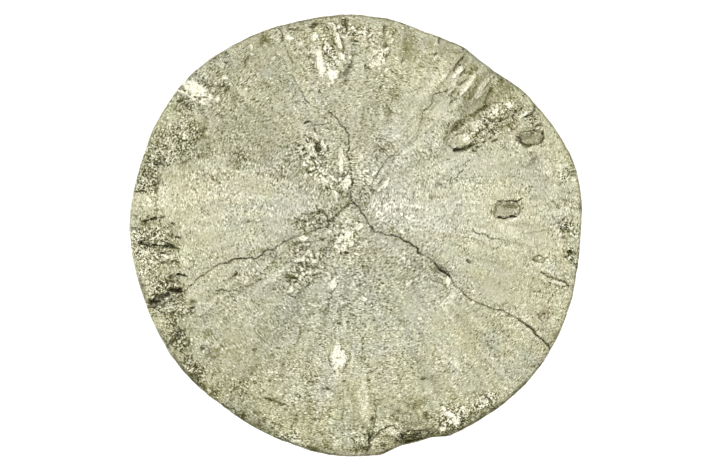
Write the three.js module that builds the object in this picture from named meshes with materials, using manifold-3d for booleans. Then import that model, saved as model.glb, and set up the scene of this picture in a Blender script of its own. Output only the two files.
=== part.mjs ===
// Pyrite sun: one flat disc of pyrite that grew outwards from a centre between two beds of shale.
// Millimetres, +Z up. The disc lies face up on the small flat spot of its back.
// The origin is under the middle of the disc, on the surface that it rests on, and X is the widest way.

import * as THREE from 'three';
import { mergeVertices } from 'three/addons/utils/BufferGeometryUtils.js';
import Module from 'manifold-3d';

// Driving dimensions
const RIM_RADIUS = 39.1;
const CENTRE_THICKNESS = 5.4;
const RIM_TOP = 4.0;
const BACK_RISE = 0.9;
const REST_RADIUS = 12;
const RIM_ROUNDING = 0.8;
const RIM_EDGE_DROP = 0.35;
const RIM_UNEVENNESS = 0.35;
const CRACK_WIDTH = 0.5;
const CRACK_DEPTH = 1.2;
const GROWTH_CENTRE = { x: -0.5, y: 5.9 };

// The skin is a net of squares, this many across the disc and this many up its rim.
const NET_ACROSS = 34;
const NET_UP = 3;

// Swellings and dents of the rim: compass bearing and half width in degrees, and how far out in mm.
const RIM_FORMS = [
  { at: 16, half: 26, out: 1.45 },
  { at: 53, half: 16, out: -1.25 },
  { at: 64, half: 6, out: -0.4 },
  { at: 71, half: 11, out: -1.1 },
  { at: 82, half: 10, out: -0.4 },
  { at: 123, half: 24, out: 0.85 },
  { at: 143, half: 25, out: 1.6 },
  { at: 172, half: 30, out: 1.15 },
  { at: 193, half: 3, out: -0.6 },
  { at: 236, half: 26, out: -0.75 },
  { at: 252, half: 12, out: -0.2 },
  { at: 283, half: 8, out: -1.05 },
  { at: 290, half: 6, out: -0.9 },
  { at: 328, half: 36, out: 0.85 },
  { at: 352, half: 14, out: 0.2 },
];

// Ribs that fan out from the growth centre: how many in a turn, their height in mm and their start.
const RIBS = [
  { count: 7, height: 0.12, phase: 0.4 },
  { count: 17, height: 0.13, phase: 1.9 },
  { count: 31, height: 0.11, phase: 0.8 },
];

// Growth fans between the main cracks, each a little above or below its neighbours.
const FANS = [
  { from: -37, to: 49, lift: 0.18 },
  { from: 49, to: 104, lift: -0.12 },
  { from: 104, to: 206, lift: 0.1 },
  { from: 206, to: 323, lift: -0.06 },
];

// Shallow bowls in the front, drawn out along a bearing: half length, half width and depth.
const HOLLOWS = [
  { x: 21.5, y: 20.5, long: 9.5, wide: 4.2, bearing: 40, depth: 1.0 },
  { x: 24.0, y: 26.5, long: 5.5, wide: 3.0, bearing: 62, depth: 0.7 },
  { x: -35.5, y: -1.5, long: 5.0, wide: 8.0, bearing: 185, depth: 0.5 },
  { x: -33.5, y: -10.5, long: 4.5, wide: 3.0, bearing: 200, depth: 0.8 },
  { x: -9.5, y: 31.0, long: 5.5, wide: 2.6, bearing: 112, depth: 0.4 },
  { x: 10.5, y: -35.2, long: 4.5, wide: 3.2, bearing: 10, depth: 0.9 },
  { x: -7.5, y: 14.0, long: 3.4, wide: 2.2, bearing: 125, depth: 0.4 },
  { x: -6.5, y: -0.5, long: 4.5, wide: 2.6, bearing: 215, depth: 0.35 },
];

// Steep-sided pits broken out of the front, with a flat floor.
const PITS = [
  { x: 26.6, y: 4.9, long: 2.9, wide: 1.8, bearing: 0, depth: 0.7 },
  { x: 30.7, y: 17.1, long: 2.7, wide: 1.5, bearing: 25, depth: 0.8 },
  { x: 21.3, y: 16.7, long: 3.9, wide: 1.3, bearing: 15, depth: 0.9 },
  { x: 30.6, y: 21.9, long: 1.7, wide: 1.2, bearing: 40, depth: 0.7 },
  { x: 32.1, y: -4.2, long: 1.2, wide: 0.8, bearing: 170, depth: 0.6 },
  { x: 33.0, y: -14.2, long: 1.3, wide: 0.9, bearing: 80, depth: 0.6 },
  { x: -6.8, y: 15.7, long: 0.9, wide: 0.8, bearing: 0, depth: 0.6 },
  { x: -26.6, y: -20.6, long: 1.2, wide: 0.9, bearing: 130, depth: 0.6 },
  { x: -35.2, y: -1.6, long: 3.4, wide: 0.8, bearing: 175, depth: 0.8 },
  { x: -32.0, y: -7.0, long: 2.0, wide: 0.8, bearing: 0, depth: 0.7 },
  { x: -34.0, y: -11.2, long: 2.4, wide: 1.0, bearing: 20, depth: 1.0 },
  { x: 1.7, y: -37.4, long: 1.4, wide: 1.0, bearing: 90, depth: 1.0 },
];

// Rough patches, where the crystals stand out: half sizes, bearing, unevenness, and loose crystals.
const ROUGH = [
  { x: -3.0, y: 32.5, long: 8.5, wide: 4.5, bearing: 0, height: 0.32, crystals: 10 },
  { x: -28.5, y: 22.0, long: 9.0, wide: 5.5, bearing: 50, height: 0.29, crystals: 7 },
  { x: -35.0, y: -2.0, long: 11.0, wide: 4.5, bearing: 92, height: 0.40, crystals: 9 },
  { x: -27.0, y: -21.5, long: 8.0, wide: 3.2, bearing: 128, height: 0.24, crystals: 4 },
  { x: -5.0, y: 1.5, long: 6.5, wide: 5.0, bearing: 30, height: 0.26, crystals: 8 },
  { x: -5.5, y: 13.0, long: 5.5, wide: 4.0, bearing: 120, height: 0.26, crystals: 5 },
  { x: 16.5, y: -31.5, long: 9.0, wide: 4.0, bearing: 25, height: 0.32, crystals: 9 },
  { x: 37.0, y: -2.0, long: 5.5, wide: 2.0, bearing: 90, height: 0.24, crystals: 3 },
  { x: 24.0, y: 22.0, long: 8.0, wide: 6.0, bearing: 45, height: 0.35, crystals: 5 },
];
const CRYSTAL_SMALLEST = 0.8;
const CRYSTAL_LARGEST = 1.6;

// Cracks, each a route over the front with its width and depth as a share of the main ones.
const CRACKS = {
  north: {
    share: 1,
    route: [
      [-13.4, 36.4], [-12.7, 34.3], [-11.4, 30.7], [-10.7, 27.0], [-8.6, 23.3], [-7.5, 22.4],
      [-4.7, 21.9], [-2.9, 19.4], [-1.4, 17.9], [-1.3, 14.6], [-0.7, 11.1], [-1.0, 6.8], [-0.4, 5.9],
    ],
  },
  southEast: {
    share: 1,
    route: [
      [-0.8, 6.2], [0.9, 4.3], [2.8, 1.1], [4.1, 0.3], [6.3, 0.0], [10.7, -2.4], [11.1, -3.3],
      [12.0, -3.4], [16.5, -7.2], [20.4, -11.5], [26.3, -13.4], [31.1, -16.8], [34.0, -19.5],
    ],
  },
  southWest: {
    share: 1,
    route: [
      [-0.2, 6.1], [-2.1, 4.8], [-4.7, 2.2], [-9.7, 0.0], [-15.1, -2.8], [-17.8, -3.9],
      [-21.9, -4.4], [-24.1, -5.1], [-28.4, -8.4], [-30.9, -9.9], [-36.0, -11.9],
    ],
  },
  northEast: {
    share: 0.7,
    route: [
      [3.2, 9.9], [4.4, 12.2], [6.4, 14.0], [7.4, 14.2], [10.8, 17.7], [11.6, 21.4], [13.6, 24.5], [16.7, 26.0],
    ],
  },
  eastUpper: { share: 0.6, route: [[14.2, 8.9], [17.0, 10.4], [18.9, 11.6], [19.1, 12.9], [20.1, 13.2]] },
  eastMiddle: {
    share: 0.7,
    route: [[20.3, 1.5], [20.5, 0.7], [23.0, -0.1], [23.7, -0.8], [28.5, -1.2], [31.9, -2.1]],
  },
  eastLower: { share: 0.7, route: [[31.9, -6.6], [35.0, -7.9], [37.2, -8.8]] },
  southWestBranch: { share: 0.7, route: [[-24.5, -9.8], [-22.6, -8.1], [-21.2, -6.8]] },
  south: { share: 0.8, route: [[2.7, -29.1], [3.5, -31.2], [2.9, -32.7], [3.3, -35.7]] },
  northWest: { share: 0.7, route: [[-26.3, 20.8], [-24.7, 19.3], [-23.1, 17.6]] },
};

const manifold = await Module();
manifold.setup();

/** Numbers from 0 to 1 that look random and are the same each time. */
function makeRandom(seed) {
  let state = seed;
  return () => {
    state = (state * 1664525 + 1013904223) % 4294967296;
    return state / 4294967296;
  };
}

/** Turn from one bearing to another in degrees, from -180 to 180. */
function turnBetween(from, to) {
  return THREE.MathUtils.euclideanModulo(to - from + 180, 360) - 180;
}

/** Distance of the rim from the middle of the disc at a bearing in degrees. */
function rimRadius(bearing) {
  let radius = RIM_RADIUS;
  for (const form of RIM_FORMS) {
    const turn = Math.abs(turnBetween(form.at, bearing));
    if (turn < form.half) {
      radius += form.out * (1 + Math.cos((Math.PI * turn) / form.half)) / 2;
    }
  }
  return radius;
}

/** How far inside an oval patch a point is: 1 at its middle, 0 at its edge and beyond. */
function insideOval(patch, x, y) {
  const angle = THREE.MathUtils.degToRad(patch.bearing);
  const along = (x - patch.x) * Math.cos(angle) + (y - patch.y) * Math.sin(angle);
  const across = (y - patch.y) * Math.cos(angle) - (x - patch.x) * Math.sin(angle);
  return Math.max(0, 1 - Math.hypot(along / patch.long, across / patch.wide));
}

/** Height of the ribs at an angle about the growth centre, in radians. */
function ribHeight(angle) {
  let height = 0;
  for (const rib of RIBS) {
    height += rib.height * Math.cos(rib.count * angle + rib.phase);
  }
  return height;
}

/** Height of the ribs and fans over the plain dome of the front. */
function growthRelief(x, y) {
  const reach = Math.hypot(x - GROWTH_CENTRE.x, y - GROWTH_CENTRE.y);
  const angle = Math.atan2(y - GROWTH_CENTRE.y, x - GROWTH_CENTRE.x);
  const bearing = THREE.MathUtils.radToDeg(angle);
  let height = ribHeight(angle);
  for (const fan of FANS) {
    const turn = THREE.MathUtils.euclideanModulo(bearing - fan.from, 360);
    if (turn < fan.to - fan.from) {
      height += fan.lift;
    }
  }
  return height * THREE.MathUtils.smoothstep(reach, 2, 18);
}

/** Height of the front above the surface that the disc rests on. */
function frontHeight(x, y) {
  const out = Math.hypot(x, y) / RIM_RADIUS;
  let height = RIM_TOP + (CENTRE_THICKNESS - RIM_TOP) * (1 - out * out);
  height += growthRelief(x, y);
  for (const hollow of HOLLOWS) {
    height -= hollow.depth * THREE.MathUtils.smoothstep(insideOval(hollow, x, y), 0, 0.7);
  }
  return height;
}

/** Height of the back: flat where the disc rests, then rising to the rim with shallow ribs. */
function backHeight(x, y) {
  const out = Math.max(0, Math.hypot(x, y) - REST_RADIUS) / (RIM_RADIUS - REST_RADIUS);
  const angle = Math.atan2(y - GROWTH_CENTRE.y, x - GROWTH_CENTRE.x);
  return (BACK_RISE + ribHeight(angle)) * out ** 1.3;
}

/** How uneven the skin is at a point. */
function roughness(x, y) {
  let height = 0.02;
  for (const patch of ROUGH) {
    height += patch.height * THREE.MathUtils.smoothstep(insideOval(patch, x, y), 0, 0.5);
  }
  return height;
}

/** A point of a square from -1 to 1 moved to the same place in a disc of radius 1. */
function squareToDisc(u, v) {
  if (u === 0 && v === 0) {
    return { reach: 0, angle: 0 };
  }
  if (Math.abs(u) > Math.abs(v)) {
    return { reach: Math.abs(u), angle: (Math.PI / 4) * (v / u) + (u < 0 ? Math.PI : 0) };
  }
  return { reach: Math.abs(v), angle: Math.PI / 2 - (Math.PI / 4) * (u / v) + (v < 0 ? Math.PI : 0) };
}

/** The disc before it is cracked and pitted: a box's net of squares drawn over the rim, front and back. */
function discBody() {
  const random = makeRandom(11);
  let geometry = new THREE.BoxGeometry(2, 2, 1, NET_ACROSS, NET_ACROSS, NET_UP);
  geometry.deleteAttribute('normal');
  geometry.deleteAttribute('uv');
  geometry = mergeVertices(geometry, 1e-5);
  const position = geometry.attributes.position;
  for (let i = 0; i < position.count; i += 1) {
    const level = position.getZ(i) * 2;
    const place = squareToDisc(position.getX(i), position.getY(i));
    const onRim = place.reach > 0.9999;
    const rim = rimRadius(THREE.MathUtils.radToDeg(place.angle));
    const unevenRim = onRim ? RIM_UNEVENNESS * (random() - 0.6) : 0;
    const setback = onRim ? RIM_ROUNDING * level * level : 0;
    const reach = (rim - setback + unevenRim) * place.reach;
    const x = reach * Math.cos(place.angle);
    const y = reach * Math.sin(place.angle);
    const uneven = (random() - 0.5) * 2 * roughness(x, y);
    const edgeDrop = onRim ? RIM_EDGE_DROP : 0;
    const front = frontHeight(x, y) + uneven - edgeDrop;
    const back = backHeight(x, y) + edgeDrop;
    const share = (level + 1) / 2;
    position.setXYZ(i, x, y, back + (front - back) * share);
  }
  return geometry;
}

/** The wedge of air in one crack, along its route: widest in the middle and closed at both ends. */
function crackBlade(crack) {
  const points = crack.route.map(([x, y]) => new THREE.Vector2(x, y));
  const last = points.length - 1;
  const leftSide = [];
  const rightSide = [];
  for (let i = 1; i < last; i += 1) {
    const along = points[i + 1].clone().sub(points[i - 1]).normalize();
    const half = (CRACK_WIDTH * crack.share * (0.8 + 0.2 * Math.cos(2.1 * i))) / 2;
    leftSide.push(new THREE.Vector2(points[i].x - along.y * half, points[i].y + along.x * half));
    rightSide.push(new THREE.Vector2(points[i].x + along.y * half, points[i].y - along.x * half));
  }
  const outline = new THREE.Shape([points[0], ...rightSide, points[last], ...leftSide.reverse()]);
  const geometry = new THREE.ExtrudeGeometry(outline, { depth: 1, bevelEnabled: false });
  const position = geometry.attributes.position;
  for (let i = 0; i < position.count; i += 1) {
    const front = frontHeight(position.getX(i), position.getY(i));
    const top = position.getZ(i) > 0.5;
    position.setZ(i, top ? front + 1.5 : front - CRACK_DEPTH * crack.share);
  }
  return geometry;
}

/** The air in one pit: an oval plug with uneven sides, narrower at its floor. */
function pitPlug(pit, random) {
  const sides = 10;
  const above = 1.5;
  let geometry = new THREE.CylinderGeometry(1.12, 0.85, 1, sides);
  geometry.deleteAttribute('normal');
  geometry.deleteAttribute('uv');
  geometry = mergeVertices(geometry, 1e-4);
  const position = geometry.attributes.position;
  for (let i = 0; i < position.count; i += 1) {
    const swell = 0.82 + 0.34 * random();
    position.setXYZ(i, position.getX(i) * swell, position.getY(i), position.getZ(i) * swell);
  }
  geometry.rotateX(Math.PI / 2);
  geometry.scale(pit.long, pit.wide, pit.depth + above);
  geometry.rotateZ(THREE.MathUtils.degToRad(pit.bearing) + 0.1 * random());
  geometry.translate(pit.x, pit.y, frontHeight(pit.x, pit.y) + (above - pit.depth) / 2);
  return geometry;
}

/** Whether a crystal of this size at this place would stand clear of every pit and crack. */
function isClear(x, y, size) {
  const place = new THREE.Vector3(x, y, 0);
  const nearest = new THREE.Vector3();
  for (const pit of PITS) {
    if (place.distanceTo(new THREE.Vector3(pit.x, pit.y, 0)) < pit.long + size) {
      return false;
    }
  }
  for (const { route } of Object.values(CRACKS)) {
    for (let i = 1; i < route.length; i += 1) {
      const start = new THREE.Vector3(route[i - 1][0], route[i - 1][1], 0);
      const end = new THREE.Vector3(route[i][0], route[i][1], 0);
      new THREE.Line3(start, end).closestPointToPoint(place, true, nearest);
      if (place.distanceTo(nearest) < size + CRACK_WIDTH) {
        return false;
      }
    }
  }
  return Math.hypot(x, y) < rimRadius(THREE.MathUtils.radToDeg(Math.atan2(y, x))) - RIM_ROUNDING - size;
}

/** One crystal, turned at random and sunk to half its height. */
function crystal(x, y, size, random) {
  const geometry = new THREE.OctahedronGeometry(size);
  geometry.scale(1, 0.7, 0.6);
  geometry.rotateX((random() - 0.5) * 0.9);
  geometry.rotateY((random() - 0.5) * 0.9);
  geometry.rotateZ(random() * Math.PI * 2);
  geometry.translate(x, y, frontHeight(x, y));
  return geometry;
}

/** The crystals that stand out of one rough patch, scattered over it where there is room. */
function patchCrystals(patch, random) {
  const angle = THREE.MathUtils.degToRad(patch.bearing);
  const crystals = [];
  for (let tries = 0; tries < 200 && crystals.length < patch.crystals; tries += 1) {
    const size = CRYSTAL_SMALLEST + (CRYSTAL_LARGEST - CRYSTAL_SMALLEST) * random();
    const along = (random() * 2 - 1) * patch.long * 0.85;
    const across = (random() * 2 - 1) * patch.wide * 0.8;
    const x = patch.x + along * Math.cos(angle) - across * Math.sin(angle);
    const y = patch.y + along * Math.sin(angle) + across * Math.cos(angle);
    if (isClear(x, y, size)) {
      crystals.push(crystal(x, y, size, random));
    }
  }
  return crystals;
}

/** A closed three.js geometry as a solid that can be joined and cut. */
function toSolid(geometry) {
  let closed = geometry;
  for (const name of ['normal', 'uv']) {
    if (closed.hasAttribute(name)) {
      closed.deleteAttribute(name);
    }
  }
  closed = mergeVertices(closed, 1e-4);
  const mesh = new manifold.Mesh({
    numProp: 3,
    vertProperties: new Float32Array(closed.attributes.position.array),
    triVerts: new Uint32Array(closed.index.array),
  });
  return new manifold.Manifold(mesh);
}

/** A solid as a three.js geometry with flat faces. */
function toGeometry(solid) {
  const mesh = solid.getMesh();
  const geometry = new THREE.BufferGeometry();
  geometry.setAttribute('position', new THREE.BufferAttribute(mesh.vertProperties, 3));
  geometry.setIndex(new THREE.BufferAttribute(mesh.triVerts, 1));
  return geometry;
}

/** The whole disc, with its crystals joined on and its cracks and pits cut in. */
function pyriteDisc() {
  const random = makeRandom(29);
  let solid = toSolid(discBody());
  for (const patch of ROUGH) {
    for (const geometry of patchCrystals(patch, random)) {
      solid = solid.add(toSolid(geometry));
    }
  }
  for (const pit of PITS) {
    solid = solid.subtract(toSolid(pitPlug(pit, random)));
  }
  for (const crack of Object.values(CRACKS)) {
    solid = solid.subtract(toSolid(crackBlade(crack)));
  }
  const geometry = toGeometry(solid);
  geometry.computeBoundingBox();
  const box = geometry.boundingBox;
  geometry.translate(-(box.min.x + box.max.x) / 2, -(box.min.y + box.max.y) / 2, -box.min.z);
  geometry.computeVertexNormals();
  return geometry;
}

const pyrite = new THREE.MeshStandardMaterial({ color: '#bdbca0', roughness: 0.42, metalness: 0.9 });
pyrite.name = 'pyrite';

const disc = new THREE.Mesh(pyriteDisc(), pyrite);
disc.name = 'pyrite_disc';

const pyriteSun = new THREE.Group();
pyriteSun.name = 'pyrite_sun';
pyriteSun.add(disc);

export default pyriteSun;
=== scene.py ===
"""Pyrite sun: a flat disc of pyrite with a skin of fine crystals, face up on a pale floor, seen from above.

The sizes and places of the disc's forms are in millimetres, from the middle of the disc, X to the right
and Y to the top of the photograph. They were read from the photograph. Bearings
are in degrees round from X. Meshes are made in metres.

An oval is given by its middle across and up, half its length, half its width, the bearing that it
is drawn out along and its amount.
"""

import logging
import math
from dataclasses import dataclass, field
from enum import Enum
from typing import Any

import bpy
import numpy as np
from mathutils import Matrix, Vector


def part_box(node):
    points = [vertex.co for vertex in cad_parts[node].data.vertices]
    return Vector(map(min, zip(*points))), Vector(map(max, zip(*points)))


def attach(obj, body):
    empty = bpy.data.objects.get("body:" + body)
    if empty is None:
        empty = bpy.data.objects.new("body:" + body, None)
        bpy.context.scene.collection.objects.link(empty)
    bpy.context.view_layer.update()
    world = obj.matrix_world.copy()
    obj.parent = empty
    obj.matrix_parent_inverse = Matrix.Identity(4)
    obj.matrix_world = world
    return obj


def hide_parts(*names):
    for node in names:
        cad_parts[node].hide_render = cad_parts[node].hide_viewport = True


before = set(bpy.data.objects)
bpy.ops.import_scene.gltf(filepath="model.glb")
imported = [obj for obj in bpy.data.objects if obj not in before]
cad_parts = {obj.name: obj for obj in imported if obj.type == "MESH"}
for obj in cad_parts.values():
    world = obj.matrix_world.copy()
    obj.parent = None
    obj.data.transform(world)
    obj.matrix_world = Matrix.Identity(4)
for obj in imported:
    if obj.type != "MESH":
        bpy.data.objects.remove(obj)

MM = 0.001
DISC_NODE = "pyrite_disc"
DISC_PIECE = "pyrite_sun_disc"
HALF_TURN = 180.0
FULL_TURN = 360.0

# The whole numbers that mix a lattice place and a seed into a random number.
LATTICE_SHIFT = 65536
COLUMN_FACTOR, ROW_FACTOR, SEED_FACTOR = 374761393, 668265263, 144269
MIXING_ROUNDS = ((13, 1274126177), (16, 2246822519))
LAST_SHIFT = 15
WORD_MASK, WORD_RANGE = 0xFFFFFFFF, 4294967296.0

Colour = tuple[float, float, float, float]
Range = tuple[float, float]
Pair = tuple[float, float]
Patches = tuple[tuple[float, ...], ...]
log = logging.getLogger("pyrite_sun")


def smooth_step(values: np.ndarray, low: float, high: float) -> np.ndarray:
    """Eases from 0 to 1 between two values.

    Args:
        values: the numbers to ease.
        low: where the step starts.
        high: where the step ends.

    Returns:
        Numbers from 0 to 1.
    """
    share = np.clip((values - low) / (high - low), 0.0, 1.0)
    return share * share * (3.0 - 2.0 * share)


def turn_from(bearing: np.ndarray, at: float) -> np.ndarray:
    """Gives the turn between each bearing and one other, from 0 to 180 degrees."""
    return np.abs((bearing - at + HALF_TURN) % FULL_TURN - HALF_TURN)


def bell(turn: np.ndarray, half: float) -> np.ndarray:
    """Eases from 1 at no turn to 0 at half a form's width."""
    return np.where(turn < half, (1.0 + np.cos(np.pi * turn / half)) / 2.0, 0.0)


def places_near(x: np.ndarray, y: np.ndarray, middle: Pair, far: float) -> np.ndarray:
    """Finds the places in a square.

    Args:
        x: places across.
        y: places up.
        middle: the square's middle.
        far: half of its side.

    Returns:
        The numbers of the places in it.
    """
    return np.flatnonzero((np.abs(x - middle[0]) < far) & (np.abs(y - middle[1]) < far))


def lattice_random(column: np.ndarray, row: np.ndarray, seed: int) -> np.ndarray:
    """Draws one number for each square of a lattice, the same on every run.

    Args:
        column: whole column numbers.
        row: whole row numbers.
        seed: which draw.

    Returns:
        Numbers from 0 to 1.
    """
    mask = np.uint64(WORD_MASK)
    mixed = (column + LATTICE_SHIFT).astype(np.uint64) * np.uint64(COLUMN_FACTOR)
    mixed += (row + LATTICE_SHIFT).astype(np.uint64) * np.uint64(ROW_FACTOR)
    mixed = (mixed + np.uint64(seed * SEED_FACTOR)) & mask
    for shift, factor in MIXING_ROUNDS:
        mixed = ((mixed ^ (mixed >> np.uint64(shift))) * np.uint64(factor)) & mask
    mixed = mixed ^ (mixed >> np.uint64(LAST_SHIFT))
    return mixed.astype(float) / WORD_RANGE


@dataclass(frozen=True)
class Noise:
    """Soft noise over the plane."""

    size: float
    seed: int

    def at(self, x: np.ndarray, y: np.ndarray) -> np.ndarray:
        """Reads the noise.

        Args:
            x: places across.
            y: places up.

        Returns:
            Numbers from -1 to 1.
        """
        across, up = x / self.size, y / self.size
        column, row = np.floor(across).astype(int), np.floor(up).astype(int)
        right = smooth_step(across - column, 0.0, 1.0)
        top = smooth_step(up - row, 0.0, 1.0)
        low = lattice_random(column, row, self.seed) * (1 - right)
        low += lattice_random(column + 1, row, self.seed) * right
        high = lattice_random(column, row + 1, self.seed) * (1 - right)
        high += lattice_random(column + 1, row + 1, self.seed) * right
        return 2.0 * (low * (1 - top) + high * top) - 1.0


@dataclass(frozen=True)
class Cloud:
    """Noise in layers over a base value; each layer is its amount, its size and its seed."""

    layers: tuple[tuple[float, float, int], ...]
    base: float = 0.0

    def at(self, x: np.ndarray, y: np.ndarray) -> np.ndarray:
        """Reads the cloud.

        Args:
            x: places across.
            y: places up.

        Returns:
            Numbers about the base value.
        """
        total = np.full(x.shape, self.base)
        for amount, size, seed in self.layers:
            total = total + amount * Noise(size, seed).at(x, y)
        return total


@dataclass(frozen=True)
class Streaks:
    """Noise drawn out away from the growth centre.

    Each layer is its amount, its length, how many streaks it has a radian, and its seed.
    """

    layers: tuple[tuple[float, float, float, int], ...]

    def at(self, reach: np.ndarray, angle: np.ndarray) -> np.ndarray:
        """Reads the streaks.

        Args:
            reach: distances from the growth centre.
            angle: angles about it, in radians.

        Returns:
            Numbers about 0.
        """
        total = np.zeros(reach.shape)
        for amount, length, count, seed in self.layers:
            total = total + amount * Noise(1.0, seed).at(reach / length, angle * count)
        return total


@dataclass(frozen=True)
class Waver:
    """Noise that shifts places, so that outlines come out ragged.

    Each layer is its amount, its size and its seeds for the shifts across and up.
    """

    layers: tuple[tuple[float, float, int, int], ...]

    def shift(self, x: np.ndarray, y: np.ndarray) -> tuple[np.ndarray, np.ndarray]:
        """Shifts places.

        Args:
            x: places across.
            y: places up.

        Returns:
            The shifted places across and up.
        """
        shifted_x, shifted_y = x, y
        for amount, size, seed_x, seed_y in self.layers:
            shifted_x = shifted_x + amount * Noise(size, seed_x).at(x, y)
            shifted_y = shifted_y + amount * Noise(size, seed_y).at(x, y)
        return shifted_x, shifted_y


@dataclass(frozen=True)
class Facets:
    """Flat crystal faces that share the surface out among scattered points, each tilted its own way."""

    size: float
    tilt: float
    lift: float
    seed: int

    def height(self, x: np.ndarray, y: np.ndarray) -> np.ndarray:
        """Gives the height of the faces.

        Args:
            x: places across.
            y: places up.

        Returns:
            Heights in millimetres, about 0.
        """
        column, row = np.floor(x / self.size).astype(int), np.floor(y / self.size).astype(int)
        nearest = np.full(x.shape, np.inf)
        height = np.zeros(x.shape)
        for step_column in (-1, 0, 1):
            for step_row in (-1, 0, 1):
                cell_column, cell_row = column + step_column, row + step_row
                draws = [lattice_random(cell_column, cell_row, self.seed + k) for k in range(5)]
                apart_x = x - (cell_column + draws[0]) * self.size
                apart_y = y - (cell_row + draws[1]) * self.size
                distance = apart_x ** 2 + apart_y ** 2
                face = self.tilt * 2.0 * ((draws[2] - 0.5) * apart_x + (draws[3] - 0.5) * apart_y)
                face += self.lift * 2.0 * (draws[4] - 0.5)
                closer = distance < nearest
                nearest = np.where(closer, distance, nearest)
                height = np.where(closer, face, height)
        return height


@dataclass(frozen=True)
class Oval:
    """An oval patch of the front, drawn out along a bearing, with the strength of what it holds."""

    x: float
    y: float
    long: float
    wide: float
    bearing: float
    amount: float = 1.0

    def reach(self, x: np.ndarray, y: np.ndarray) -> np.ndarray:
        """Gives how far out of the patch's middle places are.

        Args:
            x: places across.
            y: places up.

        Returns:
            0 in the middle, 1 on the edge, more outside.
        """
        angle = math.radians(self.bearing)
        along = (x - self.x) * math.cos(angle) + (y - self.y) * math.sin(angle)
        across = (y - self.y) * math.cos(angle) - (x - self.x) * math.sin(angle)
        return np.hypot(along / self.long, across / self.wide)

    def cover(self, x: np.ndarray, y: np.ndarray, edge: float) -> np.ndarray:
        """Gives the patch as a mask.

        Args:
            x: places across.
            y: places up.
            edge: the share of the patch over which it fades out.

        Returns:
            Its amount inside, fading to 0 at its edge.
        """
        return self.amount * (1.0 - smooth_step(self.reach(x, y), 1.0 - edge, 1.0))

    def near(self, x: np.ndarray, y: np.ndarray, far: float) -> np.ndarray:
        """Finds the places that are less than far from its middle, across and up."""
        return places_near(x, y, (self.x, self.y), far)


@dataclass(frozen=True)
class Crack:
    """A crack or the foot of a ledge: the points of its route over the front, how dark it is (groove depth
    and painted shade) and how wide.
    """

    route: tuple[Pair, ...]
    darkness: float = 0.75
    width: float = 0.11

    @property
    def depth(self) -> float:
        """Gives the depth of the groove in millimetres."""
        return 2.0 * self.width * self.darkness

    def distance(self, x: np.ndarray, y: np.ndarray) -> np.ndarray:
        """Measures how far places are from the route.

        Args:
            x: places across.
            y: places up.

        Returns:
            Distances in millimetres.
        """
        nearest = np.full(x.shape, np.inf)
        for start, end in zip(self.route, self.route[1:]):
            step_x, step_y = end[0] - start[0], end[1] - start[1]
            length = step_x ** 2 + step_y ** 2
            share = ((x - start[0]) * step_x + (y - start[1]) * step_y) / length
            share = np.clip(share, 0.0, 1.0)
            apart = np.hypot(x - start[0] - share * step_x, y - start[1] - share * step_y)
            nearest = np.minimum(nearest, apart)
        return nearest


@dataclass(frozen=True)
class RimForm:
    """A swelling or dent of the rim: bearing and half width in degrees, and how far out it goes."""

    at: float
    half: float
    out: float


@dataclass(frozen=True)
class SheenFan:
    """A fan of crystals spreading from the growth centre, its sheen painted into the skin's lightness as a
    lighter or darker sector.
    """

    at: float
    half: float
    amount: float
    inner: float = 3.0


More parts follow.
